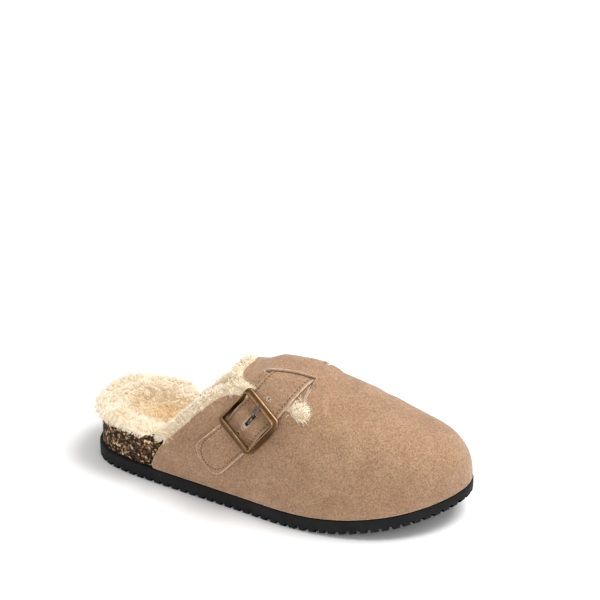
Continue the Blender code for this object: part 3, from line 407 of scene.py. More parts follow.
def triangulate(loops, spacing, fine_zone=None, fine_spacing=None, extra=None):
    """A flat mesh inside the loops: their own points and a grid of inner points.

    Inside fine_zone, a box of low and high corners, the inner points are closer together.
    The mesh also passes through the extra points."""
    loops = [np.asarray(loop, float) for loop in loops]
    low = np.min([loop.min(0) for loop in loops], axis=0)
    high = np.max([loop.max(0) for loop in loops], axis=0)
    inner = []
    for pitch, wanted in ((spacing, False), (fine_spacing, True)):
        if pitch is None:
            continue
        rows = int((high[1] - low[1]) / (pitch * math.sqrt(3) / 2)) + 1
        columns = int((high[0] - low[0]) / pitch) + 1
        row, column = (k.ravel() for k in np.mgrid[0:rows, 0:columns])
        grid = low + np.column_stack([
            pitch * (column + 0.5 * (row % 2)), pitch * math.sqrt(3) / 2 * (row + 0.5)
        ])
        if fine_zone is not None:
            in_zone = ((grid > fine_zone[0]) & (grid < fine_zone[1])).all(1)
            grid = grid[in_zone == wanted]
        grid = grid[inside(grid, loops)]
        for loop in loops:
            grid = grid[edge_distance(grid[:, 0], grid[:, 1], loop) > 0.55 * pitch]
        if extra is not None:
            gap = np.linalg.norm(grid[:, None] - extra[None], axis=2).min(1)
            grid = grid[gap > 0.5 * pitch]
        inner.append(grid)
    grid = np.vstack(inner if extra is None else inner + [extra])
    points, edges = [], []
    for loop in loops:
        first = len(points)
        points += [tuple(p) for p in loop]
        edges += [(first + i, first + (i + 1) % len(loop)) for i in range(len(loop))]
    points += [tuple(p) for p in grid]
    flat = [Vector(p) for p in points]
    verts, _, faces, _, _, _ = delaunay_2d_cdt(flat, edges, [], 0, 1e-7)
    verts = np.array([tuple(v) for v in verts])
    faces = np.array([tuple(f) for f in faces])
    middles = verts[faces].mean(1)
    faces = faces[inside(middles, loops)]
    a, b, c = (verts[faces[:, k]] for k in range(3))
    turn = (b[:, 0] - a[:, 0]) * (c[:, 1] - a[:, 1]) - (b[:, 1] - a[:, 1]) * (c[:, 0] - a[:, 0])
    faces[turn < 0] = faces[turn < 0][:, ::-1]
    return verts, faces


def triangulate_with_lines(loops, lines, spacing):
    """Like triangulate, with extra closed lines inside that the mesh follows."""
    rings = [np.asarray(loop, float) for loop in loops] + [np.asarray(r, float) for r in lines]
    flat, faces = [], []
    count = 0
    bounds = [rings[: len(loops)]] + [[ring] for ring in rings[len(loops) :]]
    for level, outer in enumerate(bounds):
        holes = bounds[level + 1] if level + 1 < len(bounds) else []
        verts, tris = triangulate(outer + holes, spacing)
        flat.append(verts)
        faces.append(tris + count)
        count += len(verts)
    flat = np.vstack(flat)
    faces = np.vstack(faces)
    keys = np.round(flat / 1e-7).astype(np.int64)
    _, first, back = np.unique(keys, axis=0, return_index=True, return_inverse=True)
    return flat[first], np.ravel(back)[faces]


def boundary_edges(faces):
    """Edges with one face, in that face's direction."""
    ends = np.concatenate([faces[:, [0, 1]], faces[:, [1, 2]], faces[:, [2, 0]]])
    seen = {}
    for a, b in ends.tolist():
        seen[(a, b)] = True
    return [(a, b) for a, b in seen if (b, a) not in seen]


def two_skins(flat_faces, lower, upper):
    """A closed solid from one flat mesh raised to two skins and joined round its edges."""
    count = len(lower)
    faces = [tuple(f) for f in flat_faces + count]
    faces += [tuple(f[::-1]) for f in flat_faces]
    for a, b in boundary_edges(flat_faces):
        faces.append((a, b, b + count, a + count))
    return np.vstack([lower, upper]), faces


def edge_at(ring, x, side):
    """Plan y of the ring's lateral or medial edge at each x."""
    tip = int(np.argmax(ring[:, 0]))
    heel = int(np.argmin(ring[:, 0]))
    order = np.roll(np.arange(len(ring)), -heel)
    turn = int(np.where(order == tip)[0][0])
    half = order[: turn + 1] if side == LATERAL else np.r_[order[turn:], order[:1]][::-1]
    return np.interp(x, ring[half, 0], ring[half, 1])


class Last:
    """The upper's outer surface as a grid of sections, unrolled to a flat pattern.

    Pattern X runs along the ridge and pattern Y round the girth, lateral side negative."""

    def __init__(self, stations=140, steps=60):
        ring = sole_outline(UPPER_INSET, 0.001)
        tip = int(np.argmax(ring[:, 0]))
        self.tip_x, tip_y = ring[tip]
        start = LAST_START * LENGTH
        turn = np.linspace(0, 1, stations) * math.pi / 2
        x = start + (self.tip_x - start) * np.sin(turn)
        share = x / LENGTH
        table = np.array(LAST_SECTIONS)
        ridge_table = through(table * (LENGTH, 0.1, 0.1, 0.01), 0.001)
        base = sole_top(x) + CLEARANCE
        ridge = np.interp(x, ridge_table[:, 0], ridge_table[:, 1]) * 10 * INSTEP_HEIGHT
        round_start = TOE_ROUND_START * LENGTH
        toe = np.clip((x - round_start) / (self.tip_x - round_start), 0, 1)
        rise = (ridge - base) * (1 - toe**TOE_ROUND_POWER) ** (1 / TOE_ROUND_POWER)
        across = np.interp(share, table[:, 0], table[:, 2]) * BALL_WIDTH
        fullness = np.interp(share, table[:, 0], table[:, 3])
        bend = np.linspace(0, 1, 241)[None] * math.pi / 2
        grid = np.zeros((stations, 2 * steps + 1, 3))
        self.girth = {}
        for side in (LATERAL, MEDIAL):
            edge = edge_at(ring, x, side)
            edge[-1] = tip_y
            top = across + (tip_y - across) * toe**6
            out = np.sin(bend) ** (2 / fullness[:, None])
            up = np.cos(bend) ** (2 / fullness[:, None])
            y = top[:, None] + (edge - top)[:, None] * out
            z = base[:, None] + rise[:, None] * up
            run = np.hypot(np.diff(y, axis=1), np.diff(z, axis=1)).cumsum(1)
            run = np.hstack([np.zeros((stations, 1)), run])
            self.girth[side] = run[:, -1].copy()
            for i in range(stations):
                at = np.linspace(0, run[i, -1], steps + 1)
                line = np.column_stack([
                    np.full(steps + 1, x[i]),
                    np.interp(at, run[i], y[i]),
                    np.interp(at, run[i], z[i]),
                ])
                if side == LATERAL:
                    grid[i, : steps + 1] = line[::-1]
                else:
                    grid[i, steps:] = line
        self.x = x
        self.steps = steps
        self.grid = grid
        ridge_line = grid[:, steps]
        self.run = np.r_[0, np.linalg.norm(np.diff(ridge_line, axis=0), axis=1).cumsum()]
        along = np.gradient(grid, axis=0)
        around = np.gradient(grid, axis=1)
        normal = np.cross(along, around)
        size = np.linalg.norm(normal, axis=2)
        normal[size > 0] /= size[size > 0][:, None]
        normal[-1] = (1, 0, 0)
        for _ in range(2):
            middle = normal[1:-1] * 2 + normal[:-2] + normal[2:]
            normal[1:-1] = middle / np.linalg.norm(middle, axis=2)[..., None]
        normal[:, (0, -1), 2] = np.clip(normal[:, (0, -1), 2], 0, None)
        self.normal = normal / np.linalg.norm(normal, axis=2)[..., None]

    def run_at(self, x):
        """Pattern X of a plan x."""
        return np.interp(x, self.x, self.run)

    def half_girth(self, run, side):
        return np.interp(run, self.run, self.girth[side])

    def pattern(self, shares):
        """Pattern points from rows of (share of length, share of the half girth)."""
        shares = np.asarray(shares, float)
        run = self.run_at(shares[:, 0] * LENGTH)
        girth = np.where(
            shares[:, 1] < 0, self.half_girth(run, LATERAL), self.half_girth(run, MEDIAL)
        )
        return np.column_stack([run, shares[:, 1] * girth])

    def look_up(self, pattern):
        """Surface points and outward normals at pattern points."""
        pattern = np.asarray(pattern, float)
        run = np.clip(pattern[:, 0], 0, self.run[-1])
        girth = np.where(
            pattern[:, 1] < 0, self.half_girth(run, LATERAL), self.half_girth(run, MEDIAL)
        )
        v = np.clip(pattern[:, 1] / np.maximum(girth, 1e-6), -1, 1)
        row = np.interp(run, self.run, np.arange(len(self.run)))
        column = (v + 1) * self.steps
        i = np.clip(row.astype(int), 0, self.grid.shape[0] - 2)
        j = np.clip(column.astype(int), 0, self.grid.shape[1] - 2)
        a = (row - i)[:, None]
        b = (column - j)[:, None]

        def blend(values):
            return (
                values[i, j] * (1 - a) * (1 - b)
                + values[i + 1, j] * a * (1 - b)
                + values[i, j + 1] * (1 - a) * b
                + values[i + 1, j + 1] * a * b
            )

        normal = blend(self.normal)
        normal /= np.linalg.norm(normal, axis=1)[:, None]
        return blend(self.grid), normal

    def skin(self, pattern, offset):
        """Points a given distance outside the surface."""
        points, normal = self.look_up(pattern)
        return points + normal * np.reshape(offset, (-1, 1))


def cork_height(x, column):
    """Rim (column 1) or seat (column 2) of the cork body at each x."""
    table = np.array(CORK_PROFILE)
    return sole_top(x) + np.interp(x / LENGTH, table[:, 0], table[:, column])


def cork_inset(x):
    table = np.array(CORK_PROFILE)
    return np.interp(x / LENGTH, table[:, 0], table[:, 3])


def cork_top(x, y, ring):
    """Cork surface: a ledge round the rim, then a bowl down to the seat."""
    depth = edge_distance(x, y, ring)
    down = smooth(CORK_RIM_LEDGE, CORK_RIM_LEDGE + CORK_BOWL_WIDTH, depth)
    rim = cork_height(x, 1)
    return rim + (cork_height(x, 2) - rim) * down


def lumps(a, b, pitch=0.0085):
    """A gentle uneven swell between 0 and 1, for fleece."""
    u, v = 2 * math.pi * a / pitch, 2 * math.pi * b / pitch
    swell = np.sin(u + 1.3 * np.sin(0.37 * v)) * np.sin(v + 1.1 * np.sin(0.41 * u + 1.0))
    swell += 0.6 * np.sin(1.7 * u + 0.8 * v + 0.5) * np.sin(0.9 * u - 1.6 * v)
    return np.clip(0.5 + 0.4 * swell, 0, 1)


class Strap:
    """The strap's run in the upper's pattern, with its lift over the other layers."""

    def __init__(self, last):
        self.last = last
        table = np.array(STRAP_LINE)
        self.line = through(last.pattern(table), 0.001)
        step = np.diff(self.line, axis=0)
        self.run = np.r_[0, np.linalg.norm(step, axis=1).cumsum()]
        self.length = self.run[-1]
        middle = last.pattern([(table[2][0], -BUCKLE_AT)])[0]
        self.buckle_run = self.run[np.linalg.norm(self.line - middle, axis=1).argmin()]
        self.set_buckle_frame()

    def place(self, run, across):
        """Pattern points at a run along the strap and a distance across it, + to the toe."""
        run = np.asarray(run, float)

        def on_line(at):
            return np.column_stack([np.interp(at, self.run, self.line[:, k]) for k in (0, 1)])

        point = on_line(run)
        along = on_line(run + 0.003) - on_line(run - 0.003)
        along /= np.linalg.norm(along, axis=1)[:, None]
        sideways = np.column_stack([along[:, 1], -along[:, 0]])
        return point + sideways * np.reshape(across, (-1, 1))

    def distance(self, pattern):
        """Distance of pattern points from the strap's middle line."""
        gap = np.linalg.norm(np.asarray(pattern)[:, None] - self.line[None], axis=2)
        return gap.min(1)

    def set_buckle_frame(self):
        """A flat frame on the upper under the buckle: origin, along, across and out."""
        run = self.buckle_run
        ends = self.place([run - 0.014, run + 0.014, run, run, run], [0, 0, -0.014, 0.014, 0])
        p, _ = self.last.look_up(ends)
        along = p[1] - p[0]
        along /= np.linalg.norm(along)
        across = p[3] - p[2]
        across -= along * across.dot(along)
        across /= np.linalg.norm(across)
        out = np.cross(along, across)
        if out[2] < 0:
            out = -out
        self.origin, self.along, self.across, self.out = p[4], along, across, out
        self.bar_height = self.highest((0.0, 0.0), (-0.0165, 0.0165), 0) + CLEARANCE + BAR_RADIUS
        need = self.bar_height + BAR_RADIUS + CLEARANCE
        b = np.linspace(-1, 1, 13) * STRAP_WIDTH / 2
        low = self.height(self.place(np.full(13, run), b), STRAP_GAP).min()
        self.hump = max(0.0, need - low)

    def height(self, pattern, offset):
        return (self.last.skin(pattern, offset) - self.origin).dot(self.out)

    def highest(self, along, across, offset):
        """Highest point, above the buckle frame's origin, of a patch of skin under it."""
        a, b = np.meshgrid(np.linspace(*along, 9), np.linspace(*across, 9))
        spots = self.place(self.buckle_run + a.ravel(), b.ravel())
        return self.height(spots, offset).max()

    def swell(self, run):
        """How far the strap rises over the buckle's bar."""
        return self.hump * (1 - smooth(0.0015, 0.0095, np.abs(run - self.buckle_run)))

    def skin(self, run, across, top):
        spots = self.place(run, across)
        offset = STRAP_GAP - dip(self.last, spots) + (STRAP_THICKNESS if top else 0)
        return self.last.skin(spots, offset) + self.out * self.swell(np.asarray(run))[:, None]


def band(last, pattern):
    """1 over the strap's width at the ridge, fading to 0 behind and ahead of it."""
    run = np.asarray(pattern)[:, 0]
    middle = last.run_at(STRAP_LINE[4][0] * LENGTH)
    rear = middle - STRAP_WIDTH / 2
    front = middle + STRAP_WIDTH / 2 + 0.0008
    return smooth(rear - 0.015, rear - 0.0005, run) * (1 - smooth(front, front + 0.014, run))


def dip(last, pattern):
    """How far the layers under the bridge are pressed down."""
    aside = np.abs(np.asarray(pattern)[:, 1])
    return STRAP_DIP * (1 - smooth(0.009, 0.016, aside)) * band(last, pattern)


def slit_line(last):
    """Rear and front end of one slit in the pattern, girth taken as positive."""
    return last.pattern([SLIT_REAR, SLIT_FRONT])


def upper_lift(last, strap, pattern):
    """Offset of the suede's outer face: up over the bridge, down where the lobes lie under the
    strap."""
    p = np.asarray(pattern, float)
    aside = np.abs(p[:, 1])
    rear, front = slit_line(last)
    hole = last.pattern([KEYHOLE])[0]
    slit = np.interp(p[:, 0], (rear[0], front[0]), (rear[1], front[1]))
    stack = STRAP_GAP + STRAP_THICKNESS + CLEARANCE + UPPER_WALL
    spread = 1 - smooth(slit, slit + 0.009, aside)
    behind = p[:, 0] < rear[0] + 0.006
    near = 1 - smooth(0.0002, 0.0060, strap.distance(p) - STRAP_WIDTH / 2)
    spread = spread * (1 - near * smooth(slit, slit + 0.003, aside) * behind)
    up = (stack - dip(last, p)) * band(last, p) * spread
    cut = np.interp(aside, (front[1], hole[1]), (front[0], hole[0]))
    on_lobe = (aside > slit) & (p[:, 0] < cut) & (p[:, 0] > rear[0])
    settle = smooth(rear[0], rear[0] + 0.0036, p[:, 0])
    return np.where(on_lobe, up * (1 - settle) - dip(last, p) * settle, up)


def upper_half(last, side, spacing):
    """One side of the suede's edge, from the feather at the rear to the ridge of the tab."""
    rear, front = slit_line(last)
    hole = last.pattern([KEYHOLE])[0]
    collar = through(last.pattern(COLLAR_EDGE), spacing)
    tab = through(last.pattern(TAB_EDGE), spacing)
    cut = front - hole
    cut_angle = math.atan2(cut[1], cut[0])
    half_cut = math.asin(CUT_WIDTH / 2 / KEYHOLE_RADIUS)

    def ring(start, end):
        steps = max(2, round(abs(end - start) * KEYHOLE_RADIUS / spacing) + 1)
        turn = np.linspace(start, end, steps + 1)
        return hole + KEYHOLE_RADIUS * np.column_stack([np.cos(turn), np.sin(turn)])

    def angle_of(point):
        return math.atan2(*(point - hole)[::-1])

    lower = angle_of(collar[-1])
    upper = angle_of(tab[0]) % (2 * math.pi)
    along = (rear - front) / np.linalg.norm(rear - front)
    out = np.array([along[1], -along[0]]) * SLIT_WIDTH / 2
    forward = np.array([math.sin(cut_angle), -math.cos(cut_angle)]) * CUT_WIDTH / 2
    if forward[0] < 0:
        forward = -forward
    steps = max(3, round(np.linalg.norm(rear - front) / spacing))
    slit = front + (rear - front) * np.linspace(0, 1, steps + 1)[1:, None]
    shares = np.linspace(0, 1, max(3, round(np.linalg.norm(cut) / spacing)) + 1)
    clear = shares[(shares * np.linalg.norm(cut) > KEYHOLE_RADIUS + 0.3 * spacing) & (shares < 0.9)]
    cut_line = hole + cut * clear[:, None]
    path = [
        collar[:-1],
        ring(lower, cut_angle + half_cut),
        cut_line + forward,
        (front + forward - out)[None],
        slit - out,
        (rear + along * SLIT_WIDTH / 2)[None],
        slit[::-1] + out,
        (front - forward + out)[None],
        cut_line[::-1] - forward,
        ring(cut_angle % (2 * math.pi) - half_cut, upper),
    ]
    path.append(tab[1:])
    points = np.vstack(path)
    points[:, 1] *= side
    return points


def feather_line(last, spacing):
    """Pattern points round the lower edge from the lateral rear by the toe to the medial rear."""
    sides = []
    for side in (LATERAL, MEDIAL):
        column = 0 if side == LATERAL else -1
        edge = last.grid[:, column]
        run = np.r_[0, np.linalg.norm(np.diff(edge, axis=0), axis=1).cumsum()]
        count = round(run[-1] / spacing)
        at = np.interp(np.linspace(0, run[-1], count + 1), run, last.run)
        y = side * last.half_girth(at, side)
        sides.append(np.column_stack([at, y]))
    return sides


def upper_loop(last, spacing):
    """The closed edge of the suede in its pattern."""
    lateral, medial = feather_line(last, spacing)
    start = last.run_at(COLLAR_EDGE[0][0] * LENGTH) + 0.4 * spacing
    lateral = lateral[lateral[:, 0] > start]
    medial = medial[medial[:, 0] > start]
    left = upper_half(last, LATERAL, spacing)
    right = upper_half(last, MEDIAL, spacing)
    return np.vstack([lateral, medial[-2::-1], right, left[-2::-1]])


def bowl_rings():
    """Plan rings down the cork bowl, shared by the cork and the fleece on it."""
    shares = (0.0, 0.33, 0.67, 1.0)
    return [
        sole_outline(lambda x: cork_inset(x) + CORK_RIM_LEDGE + share * CORK_BOWL_WIDTH, 0.0085)
        for share in shares
    ]


def insole_inset(x):
    """Insole edge from the sole's outline: over the rim at the heel, inside the lining ahead."""
    over = CORK_PROFILE[0][3] - INSOLE_OVERHANG
    return over + (INSOLE_FORE_INSET - over) * smooth(0.183, 0.221, x / LENGTH)


def bridge_zone(last):
    """Pattern box round the bridge and its slits, where the surface bends most."""
    rear, front = slit_line(last)
    return np.array([(rear[0] - 0.012, -0.022), (front[0] + 0.012, 0.022)])


def lining_low_edge(last, side, spacing):
    """Pattern points along one side of the lining's lower edge, just above the cork."""
    edge = []
    for run, _ in feather_line(last, spacing)[0 if side == LATERAL else 1]:
        girth = last.half_girth(run, side)
        spots = np.column_stack([np.full(281, run), side * np.linspace(1, 0.3, 281) * girth])
        points = last.skin(spots, -UPPER_WALL - LINING_GAP)
        clear = np.where(points[:, 2] > cork_height(points[:, 0], 1) + CLEARANCE)[0]
        if len(clear) and run < last.run[-1] - LINING_TOE_GAP:
            edge.append(spots[clear[0]])
    return np.array(edge)


def lining_half(last, side, spacing):
    """One side of the lining's edge beyond the collar and the tab, up to the ridge."""
    table = np.array(COLLAR_EDGE[:8] + TAB_EDGE[3:])
    edge = through(last.pattern(table), 0.001)
    along = np.gradient(edge, axis=0)
    along /= np.linalg.norm(along, axis=1)[:, None]
    pushed = edge + np.column_stack([-along[:, 1], along[:, 0]]) * -LINING_ROLL
    if pushed[-1, 0] > edge[-1, 0]:
        pushed = 2 * edge - pushed
    gap = np.linalg.norm(pushed[:, None] - edge[None], axis=2).min(1)
    kept = pushed[(gap > LINING_ROLL * 0.985) & (pushed[:, 1] > spacing)]
    kept = np.vstack([kept, [[kept[-1, 0], 0]]])
    kept = through(kept[::4] if len(kept) % 4 == 1 else np.vstack([kept[::4], kept[-1:]]), spacing)
    kept[:, 1] *= side
    return kept


def lining_loop(last, spacing):
    """The closed edge of the lining in the upper's pattern."""
    halves, lows = [], []
    for side in (LATERAL, MEDIAL):
        low = lining_low_edge(last, side, spacing)
        half = lining_half(last, side, spacing)
        limit = np.abs(np.interp(half[:, 0], low[:, 0], low[:, 1])) - 0.3 * spacing
        half = half[np.abs(half[:, 1]) < limit]
        lows.append(low[low[:, 0] > half[0, 0] + 0.3 * spacing])
        halves.append(half)
    toe = np.linspace(lows[0][-1], lows[1][-1], 6)[1:-1]
    return np.vstack([lows[0], toe, lows[1][::-1], halves[1], halves[0][-2::-1]])


def strap_half_width(strap, run):
    """Half the strap's width, rounded off at both ends."""
    left = np.minimum(run, strap.length - run)
    nose = np.clip(left / STRAP_TIP_LENGTH, 0, 1)
    return STRAP_WIDTH / 2 * (1 - (1 - nose) ** 2.6) ** (1 / 2.6)


def spaced(start, end, pitch):
    """Evenly spaced runs strictly between start and end, about a pitch apart."""
    return np.linspace(start, end, round((end - start) / pitch) + 1)[1:-1]


def buckle_ring(extra_along, extra_across, corner, steps=4):
    """A rounded rectangle in the buckle's plane, as (along, across) points."""
    half_along = BUCKLE_OPENING_ALONG / 2 + extra_along - corner
    half_across = BUCKLE_OPENING_ACROSS / 2 + extra_across - corner
    points = []
    for quarter, (sa, sb) in enumerate(((1, 1), (-1, 1), (-1, -1), (1, -1))):
        for turn in np.linspace(0, math.pi / 2, steps) + quarter * math.pi / 2:
            points.append((
                sa * half_along + corner * math.cos(turn),
                sb * half_across + corner * math.sin(turn),
            ))
        if quarter in (0, 2):
            for share in (0.28, 0.5, 0.72):
                points.append((sa * half_along * (1 - 2 * share), sb * (half_across + corner)))
        else:
            for share in (0.33, 0.67):
                points.append((sa * (half_along + corner), sb * half_across * (1 - 2 * share)))
    return np.array(points)


def buckle_levels(strap):
    """Heights of the frame's underside at its side bars and at its end bars, and of its rim."""
    a, b = BUCKLE_OPENING_ALONG / 2, BUCKLE_OPENING_ACROSS / 2
    sides = max(
        strap.highest((-0.006, 0.006), (s * b, s * (b + BUCKLE_SIDE_BAR)), 0) for s in (-1, 1)
    )
    ends = max(
        strap.highest(
            (s * a, s * (a + BUCKLE_END_BAR)), (-b, b), STRAP_GAP + STRAP_THICKNESS
        ) for s in (-1, 1)
    )
    low_side = sides + CLEARANCE
    low_end = ends + CLEARANCE
    return low_side, low_end, low_end + BUCKLE_HEIGHT


def in_buckle(strap, along, across, height):
    return (
        strap.origin + np.outer(along, strap.along) + np.outer(across, strap.across)
        + np.outer(height, strap.out)
    )


def tube(path, up, half_wide, half_high, sides):
    """A closed tube of elliptical section along a path of points."""
    path = np.asarray(path, float)
    along = np.gradient(path, axis=0)
    along /= np.linalg.norm(along, axis=1)[:, None]
    side = np.cross(along, up)
    side /= np.linalg.norm(side, axis=1)[:, None]
    high = np.cross(side, along)
    verts, faces = [], []
    for centre, s, h in zip(path, side, high):
        for k in range(sides):
            turn = 2 * math.pi * (k + 0.5) / sides
            verts.append(centre + s * half_wide * math.cos(turn) + h * half_high * math.sin(turn))
    for i in range(len(path) - 1):
        for k in range(sides):
            n = (k + 1) % sides
            faces.append((i * sides + k, i * sides + n, (i + 1) * sides + n, (i + 1) * sides + k))
    faces.append(tuple(range(sides))[::-1])
    faces.append(tuple(range((len(path) - 1) * sides, len(path) * sides)))
    return np.array(verts), faces


def part_shift():
    """Move from the heel-back frame of the functions to the part's own frame."""
    low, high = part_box("outsole")
    ring = sole_outline(0.0, 0.0045)
    middle = (ring.min(0) + ring.max(0)) / 2
    return Vector(((low.x + high.x) / 2 - middle[0], (low.y + high.y) / 2 - middle[1], 0))


SHIFT = part_shift()


def make_piece(name, verts, faces, materials, slots=None, smooth_angle=35):
    """A mesh object in the part's frame with faces outward and smooth shading."""
    mesh = bpy.data.meshes.new(name)
    mesh.from_pydata([tuple(v) for v in verts], [], [tuple(f) for f in faces])
    mesh.validate()
    bm = bmesh.new()
    bm.from_mesh(mesh)
    bmesh.ops.recalc_face_normals(bm, faces=bm.faces)
    if bm.calc_volume(signed=True) < 0:
        bmesh.ops.reverse_faces(bm, faces=bm.faces)
    bm.to_mesh(mesh)
    bm.free()
    mesh.transform(Matrix.Translation(SHIFT))
    for material in materials:
        mesh.materials.append(material)
    if slots is not None:
        mesh.polygons.foreach_set("material_index", np.asarray(slots, np.int32))
    mesh.shade_smooth()
    mesh.set_sharp_from_angle(angle=math.radians(smooth_angle))
    obj = bpy.data.objects.new(name, mesh)
    bpy.context.scene.collection.objects.link(obj)
    return obj


def apply_modifiers(obj):
    """Replace the object's mesh with its evaluated one and clear its modifiers."""
    graph = bpy.context.evaluated_depsgraph_get()
    mesh = bpy.data.meshes.new_from_object(obj.evaluated_get(graph))
    obj.modifiers.clear()
    obj.data = mesh
    return obj


def bevel(obj, width, segments=2, angle=50, slot=-1):
    modifier = obj.modifiers.new("edge", "BEVEL")
    modifier.material = slot
    modifier.width = width
    modifier.segments = segments
    modifier.limit_method = "ANGLE"
    modifier.angle_limit = math.radians(angle)
    modifier.harden_normals = True
    return apply_modifiers(obj)


class Shader:
    """A principled material whose colour, roughness and bump come from object-space noise."""

    def __init__(self, name, roughness=0.8, metallic=0.0, **fixed):
        self.material = bpy.data.materials.new(name)
        self.material.use_nodes = True
        self.nodes = self.material.node_tree.nodes
        self.links = self.material.node_tree.links
        self.shader = self.nodes["Principled BSDF"]
        self.shader.inputs["Roughness"].default_value = roughness
        self.shader.inputs["Metallic"].default_value = metallic
        for key, value in fixed.items():
            self.shader.inputs[key.replace("_", " ")].default_value = value
        self.place = self.nodes.new("ShaderNodeTexCoord").outputs["Object"]

    def noise(self, scale, detail=3.0, roughness=0.55, distortion=0.0):
        node = self.nodes.new("ShaderNodeTexNoise")
        node.inputs["Scale"].default_value = scale
        node.inputs["Detail"].default_value = detail
        node.inputs["Roughness"].default_value = roughness
        node.inputs["Distortion"].default_value = distortion
        self.links.new(self.place, node.inputs["Vector"])
        return node.outputs["Fac"]

    def cells(self, scale, feature="F1", output="Distance", randomness=1.0, stretch=None):
        node = self.nodes.new("ShaderNodeTexVoronoi")
        node.feature = feature
        node.inputs["Scale"].default_value = scale
        node.inputs["Randomness"].default_value = randomness
        place = self.place
        if stretch is not None:
            mapping = self.nodes.new("ShaderNodeMapping")
            mapping.inputs["Scale"].default_value = stretch
            self.links.new(place, mapping.inputs["Vector"])
            place = mapping.outputs["Vector"]
        self.links.new(place, node.inputs["Vector"])
        return node.outputs[output]

    def ramp(self, value, stops, constant=False):
        node = self.nodes.new("ShaderNodeValToRGB")
        ramp = node.color_ramp
        if constant:
            ramp.interpolation = "CONSTANT"
        while len(ramp.elements) < len(stops):
            ramp.elements.new(0.5)
        for element, (position, colour) in zip(ramp.elements, stops):
            element.position = position
            if not hasattr(colour, "__len__"):
                colour = (colour, colour, colour)
            element.color = (*colour, 1)
        self.links.new(value, node.inputs["Fac"])
        return node.outputs["Color"]

    def mix(self, share, first, second, mode="MIX"):
        node = self.nodes.new("ShaderNodeMix")
        node.data_type = "RGBA"
        node.blend_type = mode
        for index, value in ((0, share), (6, first), (7, second)):
            socket = node.inputs[index]
            if hasattr(value, "is_linked"):
                self.links.new(value, socket)
            elif hasattr(value, "__len__"):
                socket.default_value = (*value, 1)
            else:
                socket.default_value = value
        return node.outputs[2]

    def math(self, operation, first, second=0.0, clamp=False):
        node = self.nodes.new("ShaderNodeMath")
        node.operation = operation
        node.use_clamp = clamp
        for socket, value in zip(node.inputs, (first, second)):
            if hasattr(value, "is_linked"):
                self.links.new(value, socket)
            else:
                socket.default_value = value
        return node.outputs[0]

    def attribute(self, name):
        node = self.nodes.new("ShaderNodeAttribute")
        node.attribute_name = name
        return node.outputs["Fac"]

    def colour(self, value):
        self.links.new(value, self.shader.inputs["Base Color"])
        return self

    def roughness(self, value):
        self.links.new(value, self.shader.inputs["Roughness"])
        return self

    def bump(self, height, distance, strength=1.0, under=None):
        node = self.nodes.new("ShaderNodeBump")
        node.inputs["Strength"].default_value = strength
        node.inputs["Distance"].default_value = distance
        self.links.new(height, node.inputs["Height"])
        if under is not None:
            self.links.new(under, node.inputs["Normal"])
        self.links.new(node.outputs["Normal"], self.shader.inputs["Normal"])
        return node.outputs["Normal"]


def suede_material(name, light, dark):
    """Napped suede: fine grain, faint brushed patches and a soft sheen."""
    s = Shader(name, 0.95, Sheen_Weight=0.25, Sheen_Roughness=0.5, Specular_IOR_Level=0.15)
    patches = s.noise(55, 3, 0.6, 0.6)
    grain = s.noise(1150, 2, 0.8)
    flecks = s.noise(620, 3, 0.75)
    base = s.mix(s.ramp(patches, ((0.30, 0.0), (0.70, 1.0))), dark, light)
    grain_tone = s.ramp(grain, ((0.38, 0.42), (0.62, 1.42)))
    fleck_tone = s.ramp(flecks, ((0.34, 0.62), (0.66, 1.26)))
    fine = s.mix(0.55, grain_tone, fleck_tone)
    s.colour(s.mix(1.0, base, fine, "MULTIPLY"))
    first = s.bump(grain, 0.00035, 0.55)
    s.bump(flecks, 0.00050, 0.55, first)
    return s.material


def fleece_material(name, for_strands):
    """Cream pile, with painted shade in tan towards the roots, tan over the heel's hollow, and a
    painted glow.
    """
    s = Shader(name, 0.95, Sheen_Weight=0.35, Sheen_Roughness=0.6, Specular_IOR_Level=0.1)
    s.shader.inputs["Subsurface Weight"].default_value = 0.12
    s.shader.inputs["Subsurface Radius"].default_value = (0.004, 0.003, 0.002)
    s.shader.inputs["Subsurface Scale"].default_value = 1.0
    clumps = s.noise(95, 3, 0.6, 0.5)
    patches = s.noise(28, 2, 0.5)
    tips = s.mix(s.ramp(clumps, ((0.35, 0.0), (0.68, 1.0))), FLEECE_WARM, FLEECE_TIP)
    tips = s.mix(s.ramp(patches, ((0.50, 0.0), (0.75, 0.55))), tips, FLEECE_WARM)
    # Tan over the heel's hollow, where the pile is also thinner and its strands shorter
    pressed = s.attribute("pressed")
    tips = s.mix(pressed, tips, FLEECE_TAN)
    if for_strands:
        along = s.attribute("along")
        # Painted shade: tan near each strand's root, for the shade deep in the pile
        tips = s.mix(s.ramp(along, ((0.0, 0.55), (0.5, 0.0))), tips, FLEECE_ROOT_SHADE)
    else:
        # Painted shade: the pile body takes the tan of the shaded depth, more of it where the clump
        # noise is low
        tips = s.mix(s.ramp(clumps, ((0.40, 0.7), (0.65, 0.25))), tips, FLEECE_ROOT_SHADE)
        s.bump(s.noise(420, 4, 0.7), 0.0012, 0.8)
    s.colour(tips)
    # Painted glow: the fleece emits its own colour, standing in for light scattered from strand to
    # strand
    s.links.new(tips, s.shader.inputs["Emission Color"])
    s.shader.inputs["Emission Strength"].default_value = FLEECE_PAINTED_GLOW
    return s.material


